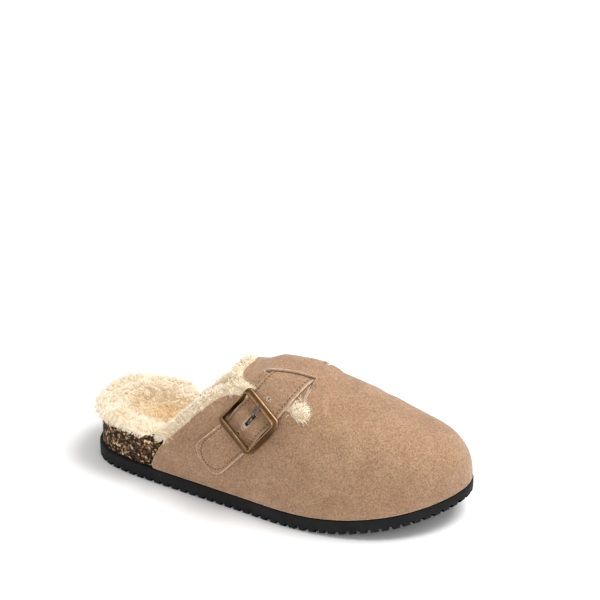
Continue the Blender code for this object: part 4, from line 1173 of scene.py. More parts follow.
def cork_material():
    """Pressed cork: light granules of several sizes in a dark binder."""
    s = Shader("cork", 0.8, Specular_IOR_Level=0.25)
    big = s.cells(360, "F1", "Color", 1.0, (1.0, 1.0, 1.25))
    small = s.cells(700, "F1", "Color")
    gaps = s.cells(360, "DISTANCE_TO_EDGE", "Distance", 1.0, (1.0, 1.0, 1.25))
    stops = (
        (0.0, (0.012, 0.008, 0.006)), (0.30, (0.045, 0.022, 0.010)), (0.50, (0.13, 0.065, 0.028)),
        (0.60, (0.30, 0.16, 0.07)), (0.70, (0.60, 0.36, 0.17)), (0.82, (0.90, 0.60, 0.32)),
    )
    first, second = s.ramp(big, stops, True), s.ramp(small, stops, True)
    which = s.ramp(s.noise(330, 2), ((0.47, 0.0), (0.53, 1.0)))
    colour = s.mix(which, first, second)
    colour = s.mix(s.ramp(gaps, ((0.03, 1.0), (0.10, 0.0))), colour, (0.012, 0.008, 0.006))
    s.colour(s.mix(0.5, colour, s.ramp(s.noise(1800, 2), ((0.3, 0.55), (0.7, 1.35))), "MULTIPLY"))
    raised = s.ramp(gaps, ((0.0, 0.0), (0.14, 1.0)))
    height = s.math("ADD", raised, s.ramp(small, ((0.2, 0.0), (0.8, 0.6))))
    s.bump(height, 0.0006, 0.9)
    return s.material


def rubber_material():
    """Foamed rubber: near black, with a fine moulded grain."""
    s = Shader("rubber", 0.7, Specular_IOR_Level=0.15)
    fine = s.noise(1700, 3, 0.7)
    broad = s.noise(60, 2)
    shade = s.ramp(broad, ((0.35, 0.0), (0.7, 1.0)))
    s.colour(s.mix(shade, RUBBER_DARK, RUBBER_LIGHT))
    s.roughness(s.ramp(fine, ((0.3, 0.50), (0.7, 0.74))))
    s.bump(fine, 0.00018, 0.7)
    return s.material


def bronze_material():
    """Antique bronze: dark brown in the hollows, gold along raised edges, partly rubbed bronze and
    partly a painted highlight on the rims.
    """
    s = Shader("antique_bronze", 0.38, 1.0)
    geometry = s.nodes.new("ShaderNodeNewGeometry")
    # Gold on convex edges: partly worn bronze, partly a painted highlight where the rims catch the
    # light
    worn_and_highlit_edges = s.ramp(geometry.outputs["Pointiness"], ((0.515, 0.0), (0.56, 1.0)))
    rub_and_highlight = s.math("MULTIPLY", worn_and_highlit_edges, s.ramp(s.noise(900, 3), ((0.30, 0.55), (0.6, 1.0))))
    cloud = s.mix(s.ramp(s.noise(260, 4, 0.65), ((0.35, 0.0), (0.65, 1.0))), BRONZE_DARK, BRONZE_MID)
    s.colour(s.mix(rub_and_highlight, cloud, BRONZE_GOLD))
    s.roughness(s.ramp(s.noise(700, 3), ((0.3, 0.30), (0.7, 0.50))))
    s.bump(s.noise(1300, 3), 0.00012, 0.35)
    return s.material


def steel_material():
    s = Shader("prong_steel", 0.28, 1.0)
    s.colour(s.ramp(s.noise(500, 3), ((0.35, (0.10, 0.095, 0.09)), (0.7, (0.24, 0.23, 0.22)))))
    s.bump(s.noise(1600, 2), 0.0001, 0.3)
    return s.material


def eyelet_material():
    s = Shader("eyelet_brass", 0.3, 1.0)
    s.colour(s.ramp(s.noise(900, 2), ((0.35, (0.62, 0.52, 0.36)), (0.7, (0.90, 0.84, 0.68)))))
    s.bump(s.noise(1600, 2), 0.00008, 0.3)
    return s.material


def thread_material():
    s = Shader("thread", 0.8, Specular_IOR_Level=0.2)
    s.colour(s.ramp(s.noise(2500, 2), ((0.35, THREAD_DARK), (0.7, THREAD_LIGHT))))
    s.bump(s.noise(3500, 2), 0.00015, 0.6)
    return s.material


def make_outsole(material):
    """Sole body with eased edges and round bites along its lower edge."""
    rings = []
    for inset, rise, share in OUTSOLE_PROFILE:
        ring = sole_outline(inset, OUTSOLE_SPACING)
        base = floor_rise(ring[:, 0])
        z = base + share * (sole_top(ring[:, 0]) - base) + rise
        rings.append(np.column_stack([ring, z]))
    count = len(rings[0])
    verts = [p for ring in rings for p in ring]
    faces = []
    for level in range(len(rings) - 1):
        here, there = level * count, (level + 1) * count
        for i in range(count):
            j = (i + 1) % count
            faces.append((here + i, here + j, there + j, there + i))
    for level, height in ((0, floor_rise), (len(rings) - 1, sole_top)):
        flat, tris = triangulate([rings[level][:, :2]], OUTSOLE_FACE_SPACING)
        match = {tuple(np.round(p[:2] / 1e-6).astype(int)): i for i, p in enumerate(rings[level])}
        index = {}
        for k, p in enumerate(flat):
            key = tuple(np.round(p / 1e-6).astype(int))
            if key in match:
                index[k] = level * count + match[key]
            else:
                index[k] = len(verts)
                verts.append((p[0], p[1], float(height(p[0]))))
        faces += [tuple(index[k] for k in tri) for tri in tris]
    outsole = make_piece("outsole_rubber", np.array(verts), faces, [material])
    cutter = make_bites()
    cut = outsole.modifiers.new("bites", "BOOLEAN")
    cut.operation = "DIFFERENCE"
    cut.solver = "EXACT"
    cut.object = cutter
    apply_modifiers(outsole)
    bpy.data.objects.remove(cutter, do_unlink=True)
    outsole.data.shade_smooth()
    outsole.data.set_sharp_from_angle(angle=math.radians(32))
    return outsole


def make_bites():
    """Cylinders lying across the sole's lower edge, for the Boolean."""
    fine = sole_outline(0.0, 0.001)
    number = round(len(fine) * 0.001 / NOTCH_PITCH)
    spots = fine[np.linspace(0, len(fine), number, endpoint=False).astype(int)]
    along = np.roll(spots, -1, 0) - np.roll(spots, 1, 0)
    along /= np.linalg.norm(along, axis=1)[:, None]
    bm = bmesh.new()
    for (x, y), (ax, ay) in zip(spots, along):
        centre = Vector((x, y, floor_rise(x) + NOTCH_RISE)) + SHIFT
        axes = Matrix(((ax, 0, -ay), (ay, 0, ax), (0, 1, 0))).to_4x4()
        bmesh.ops.create_cone(
            bm, cap_ends=True, segments=16, radius1=NOTCH_RADIUS, radius2=NOTCH_RADIUS,
            depth=2 * NOTCH_DEPTH, matrix=Matrix.Translation(centre) @ axes,
        )
    mesh = bpy.data.meshes.new("bites")
    bmesh.ops.recalc_face_normals(bm, faces=bm.faces)
    bm.to_mesh(mesh)
    bm.free()
    cutter = bpy.data.objects.new("bites", mesh)
    bpy.context.scene.collection.objects.link(cutter)
    return cutter


def make_cork(material):
    ring = sole_outline(cork_inset, CORK_SPACING)
    rim = sole_outline(cork_inset, 0.001)
    inner = sole_outline(lambda x: cork_inset(x) + CORK_EDGE_BAND, CORK_SPACING)
    flat, faces = triangulate_with_lines([ring], [inner] + bowl_rings(), BED_SPACING)
    x, y = flat.T
    top = cork_top(x, y, rim)
    edge = edge_distance(x, y, rim) < 0.0003
    upper = np.column_stack([flat, top - CORK_EDGE_DROP * edge])
    lower = np.column_stack([flat, sole_top(x) + CORK_FOOT])
    return make_piece("cork_body", *two_skins(faces, lower, upper), [material])


def set_values(obj, name, values):
    attribute = obj.data.attributes.new(name, "FLOAT", "POINT")
    attribute.data.foreach_set("value", np.asarray(values, np.float32))


def pressed_share(x, y):
    """Where the heel has flattened the pile, in the heel-back frame."""
    far = np.hypot((x - HOLLOW_AT[0]) / HOLLOW_SIZE[0], (y - HOLLOW_AT[1]) / HOLLOW_SIZE[1])
    return np.clip(HOLLOW_REACH - far, 0, 1)


def make_insole_base(material):
    edge = sole_outline(insole_inset, FOOTBED_EDGE_SPACING)
    rim = sole_outline(cork_inset, 0.001)
    lines = [
        sole_outline(
            lambda x: np.maximum(cork_inset(x) - gap, insole_inset(x) + extra),
            FOOTBED_EDGE_SPACING,
        )
        for gap, extra in FOOTBED_LINES
    ]
    flat, faces = triangulate_with_lines([edge], lines, FOOTBED_SPACING)
    x, y = flat.T
    over = inside(flat, [rim])
    depth = edge_distance(x, y, rim) * np.where(over, 1, -1)
    bed = cork_top(x, y, rim) + CLEARANCE
    ledge = cork_height(x, 1) + CLEARANCE
    drape = INSOLE_DRAPE * (1 - smooth(0.13, 0.175, x / LENGTH))
    lower = np.where(over, bed, ledge) - drape * (depth < -0.0006)
    border = edge_distance(x, y, sole_outline(insole_inset, 0.001))
    down = smooth(CORK_RIM_LEDGE, CORK_RIM_LEDGE + CORK_BOWL_WIDTH, depth)
    pile = INSOLE_RIM_PILE + (INSOLE_PILE - INSOLE_RIM_PILE) * down
    crown = 1 - (1 - smooth(-0.002, 0.007, border)) ** 2
    swell = FLEECE_LUMP * (2 * lumps(x, y) - 1) * smooth(0.0005, 0.003, border)
    pressed = pressed_share(x, y)
    pile = (pile - PILE_ROOM * crown) * crown * (1 - PRESSED_THINNING * pressed)
    upper = np.where(over, bed, ledge) + pile + swell * (1 - pressed)
    skins = two_skins(faces, np.column_stack([flat, lower]), np.column_stack([flat, upper]))
    piece = make_piece("footbed_pile", *skins, [material], smooth_angle=180)
    count = len(flat)
    shown = smooth(0.064, 0.057, x) + smooth(0.012, 0.016, border)
    shown = shown + smooth(0.004, 0.008, border) * smooth(0.085, 0.075, x)
    grow = np.r_[np.zeros(count), np.clip(shown, 0, 1) * np.where(x < OPEN_LENGTH, 1.0, 0.15)]
    grow[:count] = np.where((border < 1e-4) & (x < 0.050), 0.5, 0.0)
    set_values(piece, "grow", grow)
    set_values(piece, "pressed", np.r_[pressed, pressed])
    height = FOOTBED_STRANDS - PRESSED_STRANDS_DROP * pressed
    height = np.where(x < OPEN_LENGTH, height, HIDDEN_STRANDS)
    set_values(piece, "height", np.r_[np.full(count, RIM_STRANDS), height])
    return piece


def make_lining_base(last, strap, material):
    loop = lining_loop(last, LINING_EDGE_SPACING)
    suede = upper_loop(last, 0.002)
    hem = upper_loop(last, 0.0036)
    hem = hem[inside(hem, [loop])]
    hem = hem[edge_distance(hem[:, 0], hem[:, 1], loop) > 0.002]
    flat, faces = triangulate(
        [loop], LINING_SPACING, bridge_zone(last), LINING_BRIDGE_SPACING, hem
    )
    bare = ~inside(flat, [suede])
    beyond = edge_distance(flat[:, 0], flat[:, 1], suede) * bare
    free = smooth(0.002, 0.009, strap.distance(flat) - STRAP_WIDTH / 2)
    roll = (LIP_RISE + LIP_FREE_RISE * free) * smooth(0.0018, 0.0058, beyond)
    border = edge_distance(flat[:, 0], flat[:, 1], loop)
    swell = FLEECE_LUMP * lumps(flat[:, 0], flat[:, 1])
    outside = -UPPER_WALL - LINING_GAP - dip(last, flat) + roll
    outside -= swell * smooth(0.001, 0.003, beyond) * free
    inside_face = -UPPER_WALL - LINING_GAP - dip(last, flat) - LINING_PILE + swell
    pinch = LIP_PINCH * (1 - smooth(0, 0.004, border))
    outer = last.skin(flat, outside - pinch * (beyond > 0))
    inner = last.skin(flat, inside_face + pinch)
    inner[:, 2] = np.maximum(inner[:, 2], cork_height(inner[:, 0], 1) + CLEARANCE)
    outer[:, 2] = np.maximum(outer[:, 2], cork_height(outer[:, 0], 1) + CLEARANCE)
    skins = two_skins(faces, inner, outer)
    piece = make_piece("lining_pile", *skins, [material], smooth_angle=180)
    near = edge_distance(flat[:, 0], flat[:, 1], suede)
    shown = smooth(0.0010, 0.0022, beyond)
    clear = smooth(-0.004, 0.002, strap.distance(flat) - STRAP_WIDTH / 2)
    above = smooth(0.005, 0.012, inner[:, 2] - cork_height(inner[:, 0], 1))
    in_mouth = smooth(0.030, 0.004, border) * (outer[:, 0] < 0.150)
    set_values(piece, "grow", np.r_[(0.10 + 0.90 * in_mouth) * above, shown * clear])
    set_values(piece, "pressed", np.zeros(2 * len(flat)))
    hole = last.pattern([KEYHOLE])[0]
    to_hole = np.hypot(flat[:, 0] - hole[0], np.abs(flat[:, 1]) - hole[1])
    tuft = TUFT_GAIN * (1 - smooth(0.005, 0.010, to_hole))
    lip = LINING_STRANDS + LIP_STRANDS_GAIN * smooth(0.001, 0.005, near) * free + tuft
    mouth = LINING_STRANDS + MOUTH_STRANDS_GAIN * in_mouth + tuft
    set_values(piece, "height", np.r_[mouth, lip])
    return piece


def crease(pattern, start, end, width, depth):
    """A soft fold: a valley along a line between two pattern points, faded out at its ends."""
    start, end = np.asarray(start, float), np.asarray(end, float)
    line = end - start
    share = np.clip((pattern - start).dot(line) / line.dot(line), 0, 1)
    gap = np.linalg.norm(pattern - start - share[:, None] * line, axis=1)
    fade = np.sin(math.pi * np.clip(share, 0.02, 0.98)) ** 0.7
    valley = np.exp(-((gap / width) ** 2)) - 0.45 * np.exp(-(((gap - 1.9 * width) / width) ** 2))
    return -depth * fade * valley


def upper_folds(last, pattern):
    """Folds and slack of the worn-in suede, listed as (x share, girth share) lines."""
    total = np.zeros(len(pattern))
    for start, end, width, depth in FOLDS:
        ends = last.pattern([start, end])
        total += crease(pattern, ends[0], ends[1], width, depth)
    along, around = pattern.T
    slack = np.sin(along * 95 + 2.0 * np.sin(around * 60)) * np.sin(around * 80 + 1.3)
    return total + SLACK_DEPTH * slack


def suede_solid(name, flat_faces, lower, upper, materials):
    """Two skins whose joining faces, the cut edge, take the second material: the raw edge's own tone,
    lightened as a painted highlight.
    """
    verts, faces = two_skins(flat_faces, lower, upper)
    slots = np.zeros(len(faces), int)
    slots[2 * len(flat_faces):] = 1
    return make_piece(name, verts, faces, materials, slots, 50)


def make_upper(last, strap, suede, raw_edge_and_highlight):
    loop = upper_loop(last, UPPER_EDGE_SPACING)
    flat, faces = triangulate([loop], UPPER_SPACING, bridge_zone(last), UPPER_BRIDGE_SPACING)
    lift = upper_lift(last, strap, flat)
    clear = smooth(0.001, 0.006, strap.distance(flat) - STRAP_WIDTH / 2)
    border = edge_distance(flat[:, 0], flat[:, 1], loop)
    lift = lift + upper_folds(last, flat) * clear * smooth(0.002, 0.008, border)
    outer = last.skin(flat, lift)
    inner = last.skin(flat, lift - UPPER_WALL)
    inner[:, 2] = np.maximum(inner[:, 2], sole_top(inner[:, 0]) + CLEARANCE)
    outer[:, 2] = np.maximum(outer[:, 2], sole_top(outer[:, 0]) + CLEARANCE)
    piece = suede_solid("upper_suede", faces, inner, outer, [suede, raw_edge_and_highlight])
    # The rounded rims take the cut edge's colour too, which paints a highlight along them
    return bevel(piece, UPPER_RIM_ROUND, 2, 55, 1)


def circle(centre, radius, count):
    turn = np.linspace(0, 2 * math.pi, count, endpoint=False)
    return np.column_stack([centre[0] + radius * np.cos(turn), centre[1] + radius * np.sin(turn)])


def strap_outline(strap, spacing):
    nose = STRAP_TIP_LENGTH * (1 - np.cos(np.linspace(0, math.pi / 2, 14)))
    runs = np.r_[nose, spaced(nose[-1], strap.length - nose[-1], spacing), strap.length - nose[::-1]]
    half = np.maximum(strap_half_width(strap, runs), 0.0004)
    upper = np.column_stack([runs, half])
    return np.vstack([upper, (upper * (1, -1))[::-1]])


def hole_runs(strap):
    """Runs of the adjusting holes on the strap's middle line, tip side and instep side."""
    return [strap.buckle_run + step for step in STRAP_HOLES]


def strap_flat(strap):
    slot_half = PRONG_WIDTH / 2 + CLEARANCE
    at = strap.buckle_run
    slot = np.array([
        (at + STRAP_SLOT[0], -slot_half), (at + STRAP_SLOT[1], -slot_half),
        (at + STRAP_SLOT[1], slot_half), (at + STRAP_SLOT[0], slot_half),
    ])
    loops = [strap_outline(strap, STRAP_EDGE_SPACING), slot]
    loops += [circle((run, 0), STRAP_HOLE_RADIUS, 16) for run in hole_runs(strap)]
    return triangulate(loops, STRAP_SPACING)


def make_strap(strap, suede, raw_edge_and_highlight):
    flat, faces = strap_flat(strap)
    lower = strap.skin(flat[:, 0], flat[:, 1], False)
    upper = strap.skin(flat[:, 0], flat[:, 1], True)
    piece = suede_solid("strap_suede", faces, lower, upper, [suede, raw_edge_and_highlight])
    # The rounded rims take the cut edge's colour too, which paints a highlight along them
    return bevel(piece, STRAP_RIM_ROUND, 3, 55, 1)


def make_eyelets(strap, material):
    """Small rolled metal rings set in the strap's holes."""
    verts, faces = [], []
    count, rows = 18, 8
    for run in hole_runs(strap):
        runs = [run, run - 0.002, run + 0.002, run, run]
        spots = strap.skin(runs, [0, 0, 0, -0.002, 0.002], True)
        along = spots[2] - spots[1]
        along /= np.linalg.norm(along)
        across = spots[4] - spots[3]
        across -= along * across.dot(along)
        across /= np.linalg.norm(across)
        out = np.cross(along, across)
        out *= 1 if out.dot(strap.out) > 0 else -1
        first = len(verts)
        radius = STRAP_HOLE_RADIUS - 0.00005
        for i in range(count):
            turn = 2 * math.pi * i / count
            side = along * math.cos(turn) + across * math.sin(turn)
            for k in range(rows):
                roll = 2 * math.pi * k / rows
                reach = side * (radius + EYELET_RIM * math.cos(roll))
                verts.append(spots[0] + reach + out * EYELET_RIM * 0.8 * math.sin(roll))
        for i in range(count):
            for k in range(rows):
                a, b = first + i * rows, first + (i + 1) % count * rows
                n = (k + 1) % rows
                faces.append((a + k, b + k, b + n, a + n))
    return make_piece("strap_eyelets", verts, faces, [material])


def make_buckle(strap, material):
    low_side, low_end, top = buckle_levels(strap)
    steps = 8
    rows = []
    under = None
    shape = (
        (0.00, 0.00, 0.0015, 0.0), (0.0, 0.0, 0.0015, 0.93), (0.0002, 0.00015, 0.0017, 1.0),
        (0.0010, 0.0007, 0.0022, 1.0), (0.0013, 0.0009, 0.0023, 0.90),
        (0.35 * BUCKLE_END_BAR, 0.45 * BUCKLE_SIDE_BAR, 0.0026, 0.80),
        (0.65 * BUCKLE_END_BAR, 0.70 * BUCKLE_SIDE_BAR, 0.0030, 0.64),
        (0.93 * BUCKLE_END_BAR, 0.90 * BUCKLE_SIDE_BAR, 0.0034, 0.48),
        (BUCKLE_END_BAR, BUCKLE_SIDE_BAR, BUCKLE_CORNER, 0.38),
        (BUCKLE_END_BAR, BUCKLE_SIDE_BAR, BUCKLE_CORNER, 0.08),
        (0.94 * BUCKLE_END_BAR, 0.90 * BUCKLE_SIDE_BAR, BUCKLE_CORNER, 0.0),
    )
    for along, across, corner, height in shape:
        ring = buckle_ring(along, across, corner, steps)
        if under is None:
            under = low_side + (low_end - low_side) * smooth(0.0062, 0.0105, np.abs(ring[:, 0]))
        rows.append((ring, under + (top - under) * height))
    verts = np.vstack([in_buckle(strap, r[:, 0], r[:, 1], z) for r, z in rows])
    count = len(rows[0][0])
    faces = []
    for level in range(len(rows)):
        here, there = level * count, (level + 1) % len(rows) * count
        for i in range(count):
            j = (i + 1) % count
            faces.append((here + i, here + j, there + j, there + i))
    frame_piece = make_piece("buckle_casting", verts, faces, [material], None, 28)
    bevel(frame_piece, BUCKLE_RIM_ROUND, 2, 35)
    reach = BUCKLE_OPENING_ACROSS / 2 + BUCKLE_SIDE_BAR * 0.5
    bar_verts, bar_faces = tube(
        in_buckle(strap, np.zeros(5), np.linspace(-reach, reach, 5), [strap.bar_height] * 5),
        strap.out, BAR_RADIUS, BAR_RADIUS, 16,
    )
    bar = make_piece("bar", bar_verts, bar_faces, [material])
    join = frame_piece.modifiers.new("bar", "BOOLEAN")
    join.operation = "UNION"
    join.solver = "EXACT"
    join.object = bar
    apply_modifiers(frame_piece)
    bpy.data.objects.remove(bar, do_unlink=True)
    frame_piece.data.shade_smooth()
    frame_piece.data.set_sharp_from_angle(angle=math.radians(30))
    return frame_piece


def make_prong(strap, material):
    """The same hook as the solid, rounder, with a tapered tip."""
    _, _, top = buckle_levels(strap)
    half = PRONG_THICKNESS / 2
    reach = BAR_RADIUS + CLEARANCE + half
    path = []
    for turn in np.radians((215, 185, 155, 125, 95, 70)):
        path.append((reach * math.cos(turn), strap.bar_height + reach * math.sin(turn)))
    rest = top + CLEARANCE + half
    a = BUCKLE_OPENING_ALONG / 2
    path += [(0.0035, strap.bar_height + 0.0030), (a * 0.62, rest - 0.0004), (a, rest + 0.0002)]
    path += [(a + 0.0018, rest), (a + 0.0032, rest - 0.0006)]
    path = through(np.array(path), 0.0005)
    verts, faces = tube(
        in_buckle(strap, path[:, 0], np.zeros(len(path)), path[:, 1]),
        strap.across, half, PRONG_WIDTH / 2, 14,
    )
    rows = len(path)
    verts = np.array(verts).reshape(rows, 14, 3)
    middle = verts.mean(1, keepdims=True)
    taper = np.ones(rows)
    taper[-4:] = (0.93, 0.84, 0.68, 0.42)
    taper[:2] = (0.5, 0.85)
    verts = (middle + (verts - middle) * taper[:, None, None]).reshape(-1, 3)
    return make_piece("prong_hook", verts, faces, [material])


class Tree:
    """A geometry node tree under construction."""

    def __init__(self, name):
        self.tree = bpy.data.node_groups.new(name, "GeometryNodeTree")
        for way in ("INPUT", "OUTPUT"):
            self.tree.interface.new_socket(
                "Geometry", in_out=way, socket_type="NodeSocketGeometry"
            )
        self.start = self.tree.nodes.new("NodeGroupInput")
        self.end = self.tree.nodes.new("NodeGroupOutput")
        self.geometry = self.start.outputs["Geometry"]

    def number(self, name, value):
        """A named input of the tree; its value is set on the modifier by its identifier."""
        socket = self.tree.interface.new_socket(name, in_out="INPUT", socket_type="NodeSocketFloat")
        socket.default_value = value
        return self.start.outputs[name]

    def node(self, kind, inputs=(), **settings):
        node = self.tree.nodes.new(kind)
        for key, value in settings.items():
            setattr(node, key, value)
        for key, value in inputs:
            socket = node.inputs[key]
            if hasattr(value, "is_linked"):
                self.tree.links.new(value, socket)
            else:
                socket.default_value = value
        return node

    def vector(self, operation, first, second=None, scale=None):
        inputs = [(0, first)]
        if second is not None:
            inputs.append((1, second))
        if scale is not None:
            inputs.append(("Scale", scale))
        return self.node("ShaderNodeVectorMath", inputs, operation=operation).outputs[0]

    def math(self, operation, first, second=0.5):
        return self.node("ShaderNodeMath", [(0, first), (1, second)], operation=operation).outputs[0]

    def remap(self, value, old, new):
        inputs = [("Value", value), (1, old[0]), (2, old[1]), (3, new[0]), (4, new[1])]
        return self.node("ShaderNodeMapRange", inputs).outputs[0]

    def named(self, name, kind="FLOAT"):
        node = self.node("GeometryNodeInputNamedAttribute", [("Name", name)], data_type=kind)
        return node.outputs["Attribute"]

    def store(self, geometry, name, value, kind="FLOAT", domain="POINT"):
        node = self.node(
            "GeometryNodeStoreNamedAttribute",
            [("Geometry", geometry), ("Name", name), ("Value", value)],
            data_type=kind, domain=domain,
        )
        return node.outputs["Geometry"]

    def finish(self, geometry, material):
        realized = self.node("GeometryNodeRealizeInstances", [("Geometry", geometry)])
        realized = realized.outputs["Geometry"]
        painted = self.node("GeometryNodeSetMaterial", [("Geometry", realized)])
        painted.inputs["Material"].default_value = material
        self.tree.links.new(painted.outputs["Geometry"], self.end.inputs["Geometry"])
        return self.tree


def strand_tree(material):
    """Tapered strands that lean, curl and gather into locks."""
    t = Tree("fleece_strands")
    density = t.number("Density", 1.0)
    seed = t.number("Seed", 0.0)
    length = t.number("Length", STRAND_LENGTH)
    radius = t.number("Radius", STRAND_RADIUS)
    spread = t.node("GeometryNodeDistributePointsOnFaces", [
        ("Mesh", t.geometry), ("Density", t.math("MULTIPLY", t.named("grow"), density)),
    ])
    whole_seed = t.node("FunctionNodeFloatToInt", [(0, seed)]).outputs[0]
    t.tree.links.new(whole_seed, spread.inputs["Seed"])
    here = t.node("GeometryNodeInputPosition").outputs[0]
    ends = [("Min", (-1, -1, -1)), ("Max", (1, 1, 1))]
    chance = t.node("FunctionNodeRandomValue", ends, data_type="FLOAT_VECTOR").outputs[0]
    points = spread.outputs["Points"]
    for name, value in (("root", here), ("outward", spread.outputs["Normal"]), ("chance", chance)):
        points = t.store(points, name, value, "FLOAT_VECTOR")
    line = t.node("GeometryNodeCurvePrimitiveLine", [("Start", (0, 0, 0)), ("End", (0, 0, 0.001))])
    line = t.node(
        "GeometryNodeResampleCurve", [("Curve", line.outputs["Curve"]), ("Count", STRAND_POINTS)]
    ).outputs["Curve"]
    strands = t.node("GeometryNodeInstanceOnPoints", [("Points", points), ("Instance", line)])
    strands = t.node("GeometryNodeRealizeInstances", [("Geometry", strands.outputs["Instances"])])
    strands = strands.outputs["Geometry"]
    along = t.node("GeometryNodeSplineParameter").outputs["Factor"]
    root = t.named("root", "FLOAT_VECTOR")
    outward = t.named("outward", "FLOAT_VECTOR")
    chance = t.named("chance", "FLOAT_VECTOR")
    lean = t.node("ShaderNodeTexNoise", [("Vector", root), ("Scale", LEAN_SCALE), ("Detail", 1.0)])
    lean = t.vector("SCALE", t.vector("SUBTRACT", lean.outputs["Color"], MIDDLE), scale=STRAND_LEAN)
    lock = t.node("ShaderNodeTexVoronoi", [("Vector", root), ("Scale", LOCK_SCALE)])
    to_lock = t.vector("SUBTRACT", lock.outputs["Position"], root)
    lock_lean = t.vector("SUBTRACT", lock.outputs["Color"], MIDDLE)
    tall = t.math("MULTIPLY", length, t.named("height"))
    draw = t.node("ShaderNodeSeparateXYZ", [(0, chance)]).outputs[0]
    uneven = t.remap(draw, (-1.0, 1.0), STRAND_UNEVEN)
    tall = t.math("MULTIPLY", tall, uneven)
    way = t.vector("ADD", t.vector("ADD", outward, lean), t.vector("SCALE", chance, scale=STRAND_STRAY))
    way = t.vector("ADD", way, t.vector("SCALE", lock_lean, scale=LOCK_LEAN))
    way = t.vector("NORMALIZE", way)
    straight = t.vector("SCALE", outward, scale=t.math("SUBTRACT", 1.0, along))
    turned = t.vector("SCALE", way, scale=t.math("ADD", along, STRAND_EARLY_TURN))
    heading = t.vector("NORMALIZE", t.vector("ADD", straight, turned))
    place = t.vector("ADD", root, t.vector("SCALE", heading, scale=t.math("MULTIPLY", tall, along)))
    squared = t.math("MULTIPLY", along, along)
    gather = t.vector("SCALE", to_lock, scale=t.math("MULTIPLY", squared, LOCK_GATHER))
    place = t.vector("ADD", place, gather)
    droop = t.math("MULTIPLY", squared, t.math("MULTIPLY", tall, STRAND_DROOP))
    place = t.vector("ADD", place, t.vector("SCALE", (0, 0, -1), scale=droop))
    curl = t.node("ShaderNodeTexNoise", [("Vector", place), ("Scale", CURL_SCALE), ("Detail", 1.0)])
    curl = t.vector("SUBTRACT", curl.outputs["Color"], MIDDLE)
    curl = t.vector("SCALE", curl, scale=t.math("MULTIPLY", along, STRAND_CURL))
    place = t.vector("ADD", place, curl)
    moved = t.node("GeometryNodeSetPosition", [("Geometry", strands), ("Position", place)])
    moved = moved.outputs["Geometry"]
    taper = t.remap(squared, (0.0, 1.0), (1.0, STRAND_TIP))
    marked = t.store(moved, "along", along)
    section = t.node("GeometryNodeCurvePrimitiveCircle", [("Resolution", 3), ("Radius", 1.0)])
    tubes = t.node("GeometryNodeCurveToMesh", [
        ("Curve", marked), ("Profile Curve", section.outputs["Curve"]), ("Fill Caps", True),
        ("Scale", t.math("MULTIPLY", radius, taper)),
    ])
    return t.finish(tubes.outputs["Mesh"], material)


def run_tree(name, mesh, tree, values):
    """A plain mesh piece from a node tree run on a mesh, its named inputs set."""
    piece = bpy.data.objects.new(name, mesh)
    bpy.context.scene.collection.objects.link(piece)
    modifier = piece.modifiers.new(name, "NODES")
    modifier.node_group = tree
    for item in tree.interface.items_tree:
        if item.in_out == "INPUT" and item.name in values:
            modifier[item.identifier] = float(values[item.name])
    return apply_modifiers(piece)


def grow_strands(name, base, tree, values, material):
    """The strands on a base piece as a plain mesh of their own."""
    piece = run_tree(name, base.data.copy(), tree, values)
    mesh = piece.data
    mesh.name = name
    for attribute in [a.name for a in mesh.attributes]:
        if attribute not in STRAND_ATTRIBUTES and not attribute.startswith("."):
            mesh.attributes.remove(mesh.attributes[attribute])
    while len(mesh.materials) > 1:
        mesh.materials.pop(index=0)
    mesh.polygons.foreach_set("material_index", np.zeros(len(mesh.polygons), np.int32))
    mesh.materials[0] = material
    return piece


def stitch_tree(material):
    """A flattened bead of thread on every point, turned along its seam."""
    t = Tree("stitches")
    long_ = t.number("Long", STITCH_LONG)
    wide = t.number("Wide", STITCH_WIDE)
    bead = t.node("GeometryNodeMeshIcoSphere", [("Radius", 0.5), ("Subdivisions", 2)]).outputs["Mesh"]
    size = t.node("ShaderNodeCombineXYZ", [(0, long_), (1, wide), (2, wide)]).outputs[0]
    way, up = t.named("way", "FLOAT_VECTOR"), t.named("up", "FLOAT_VECTOR")
    turn = t.node("FunctionNodeAlignRotationToVector", [("Vector", way)], axis="X").outputs[0]
    turn = t.node(
        "FunctionNodeAlignRotationToVector", [("Rotation", turn), ("Vector", up)],
        axis="Z", pivot_axis="X",
    ).outputs[0]
    beads = t.node("GeometryNodeInstanceOnPoints", [
        ("Points", t.geometry), ("Instance", bead), ("Rotation", turn), ("Scale", size),
    ])
    return t.finish(beads.outputs["Instances"], material)


def seam_points(strap, flat, pitch):
    """Stitch places along a seam given in the strap's flat (run, across) coordinates."""
    flat = through(flat, pitch)
    spots = strap.skin(flat[:, 0], flat[:, 1], True)
    up = spots - strap.skin(flat[:, 0], flat[:, 1], False)
    up /= np.linalg.norm(up, axis=1)[:, None]
    way = np.gradient(spots, axis=0)
    return spots, way, up


def make_stitches(strap, tree):
    """One seam inside the strap's edge, from the medial end round the tip and back."""
    turn = np.linspace(0, math.pi, 15)
    half = STRAP_WIDTH / 2 - STITCH_INSET
    centre = STRAP_TIP_LENGTH + STITCH_INSET
    nose = np.column_stack([
        centre - (STRAP_TIP_LENGTH - 0.0002) * np.sin(turn), half * np.cos(turn),
    ])
    runs = np.linspace(centre + STITCH_END_GAP, strap.length - STITCH_END_GAP, 30)
    side = np.column_stack([runs, np.full(len(runs), -half)])
    seam = np.vstack([(side * (1, -1))[::-1], nose, side])
    spots, way, up = seam_points(strap, seam, STITCH_PITCH)
    mesh = bpy.data.meshes.new("strap_stitches")
    mesh.from_pydata([tuple(p + u * STITCH_LIFT) for p, u in zip(spots, up)], [], [])
    mesh.transform(Matrix.Translation(SHIFT))
    for name, values in (("way", way), ("up", up)):
        attribute = mesh.attributes.new(name, "FLOAT_VECTOR", "POINT")
        attribute.data.foreach_set("vector", values.ravel())
    piece = run_tree("strap_stitches", mesh, tree, {"Long": STITCH_LONG, "Wide": STITCH_WIDE})
    piece.data.shade_smooth()
    return piece


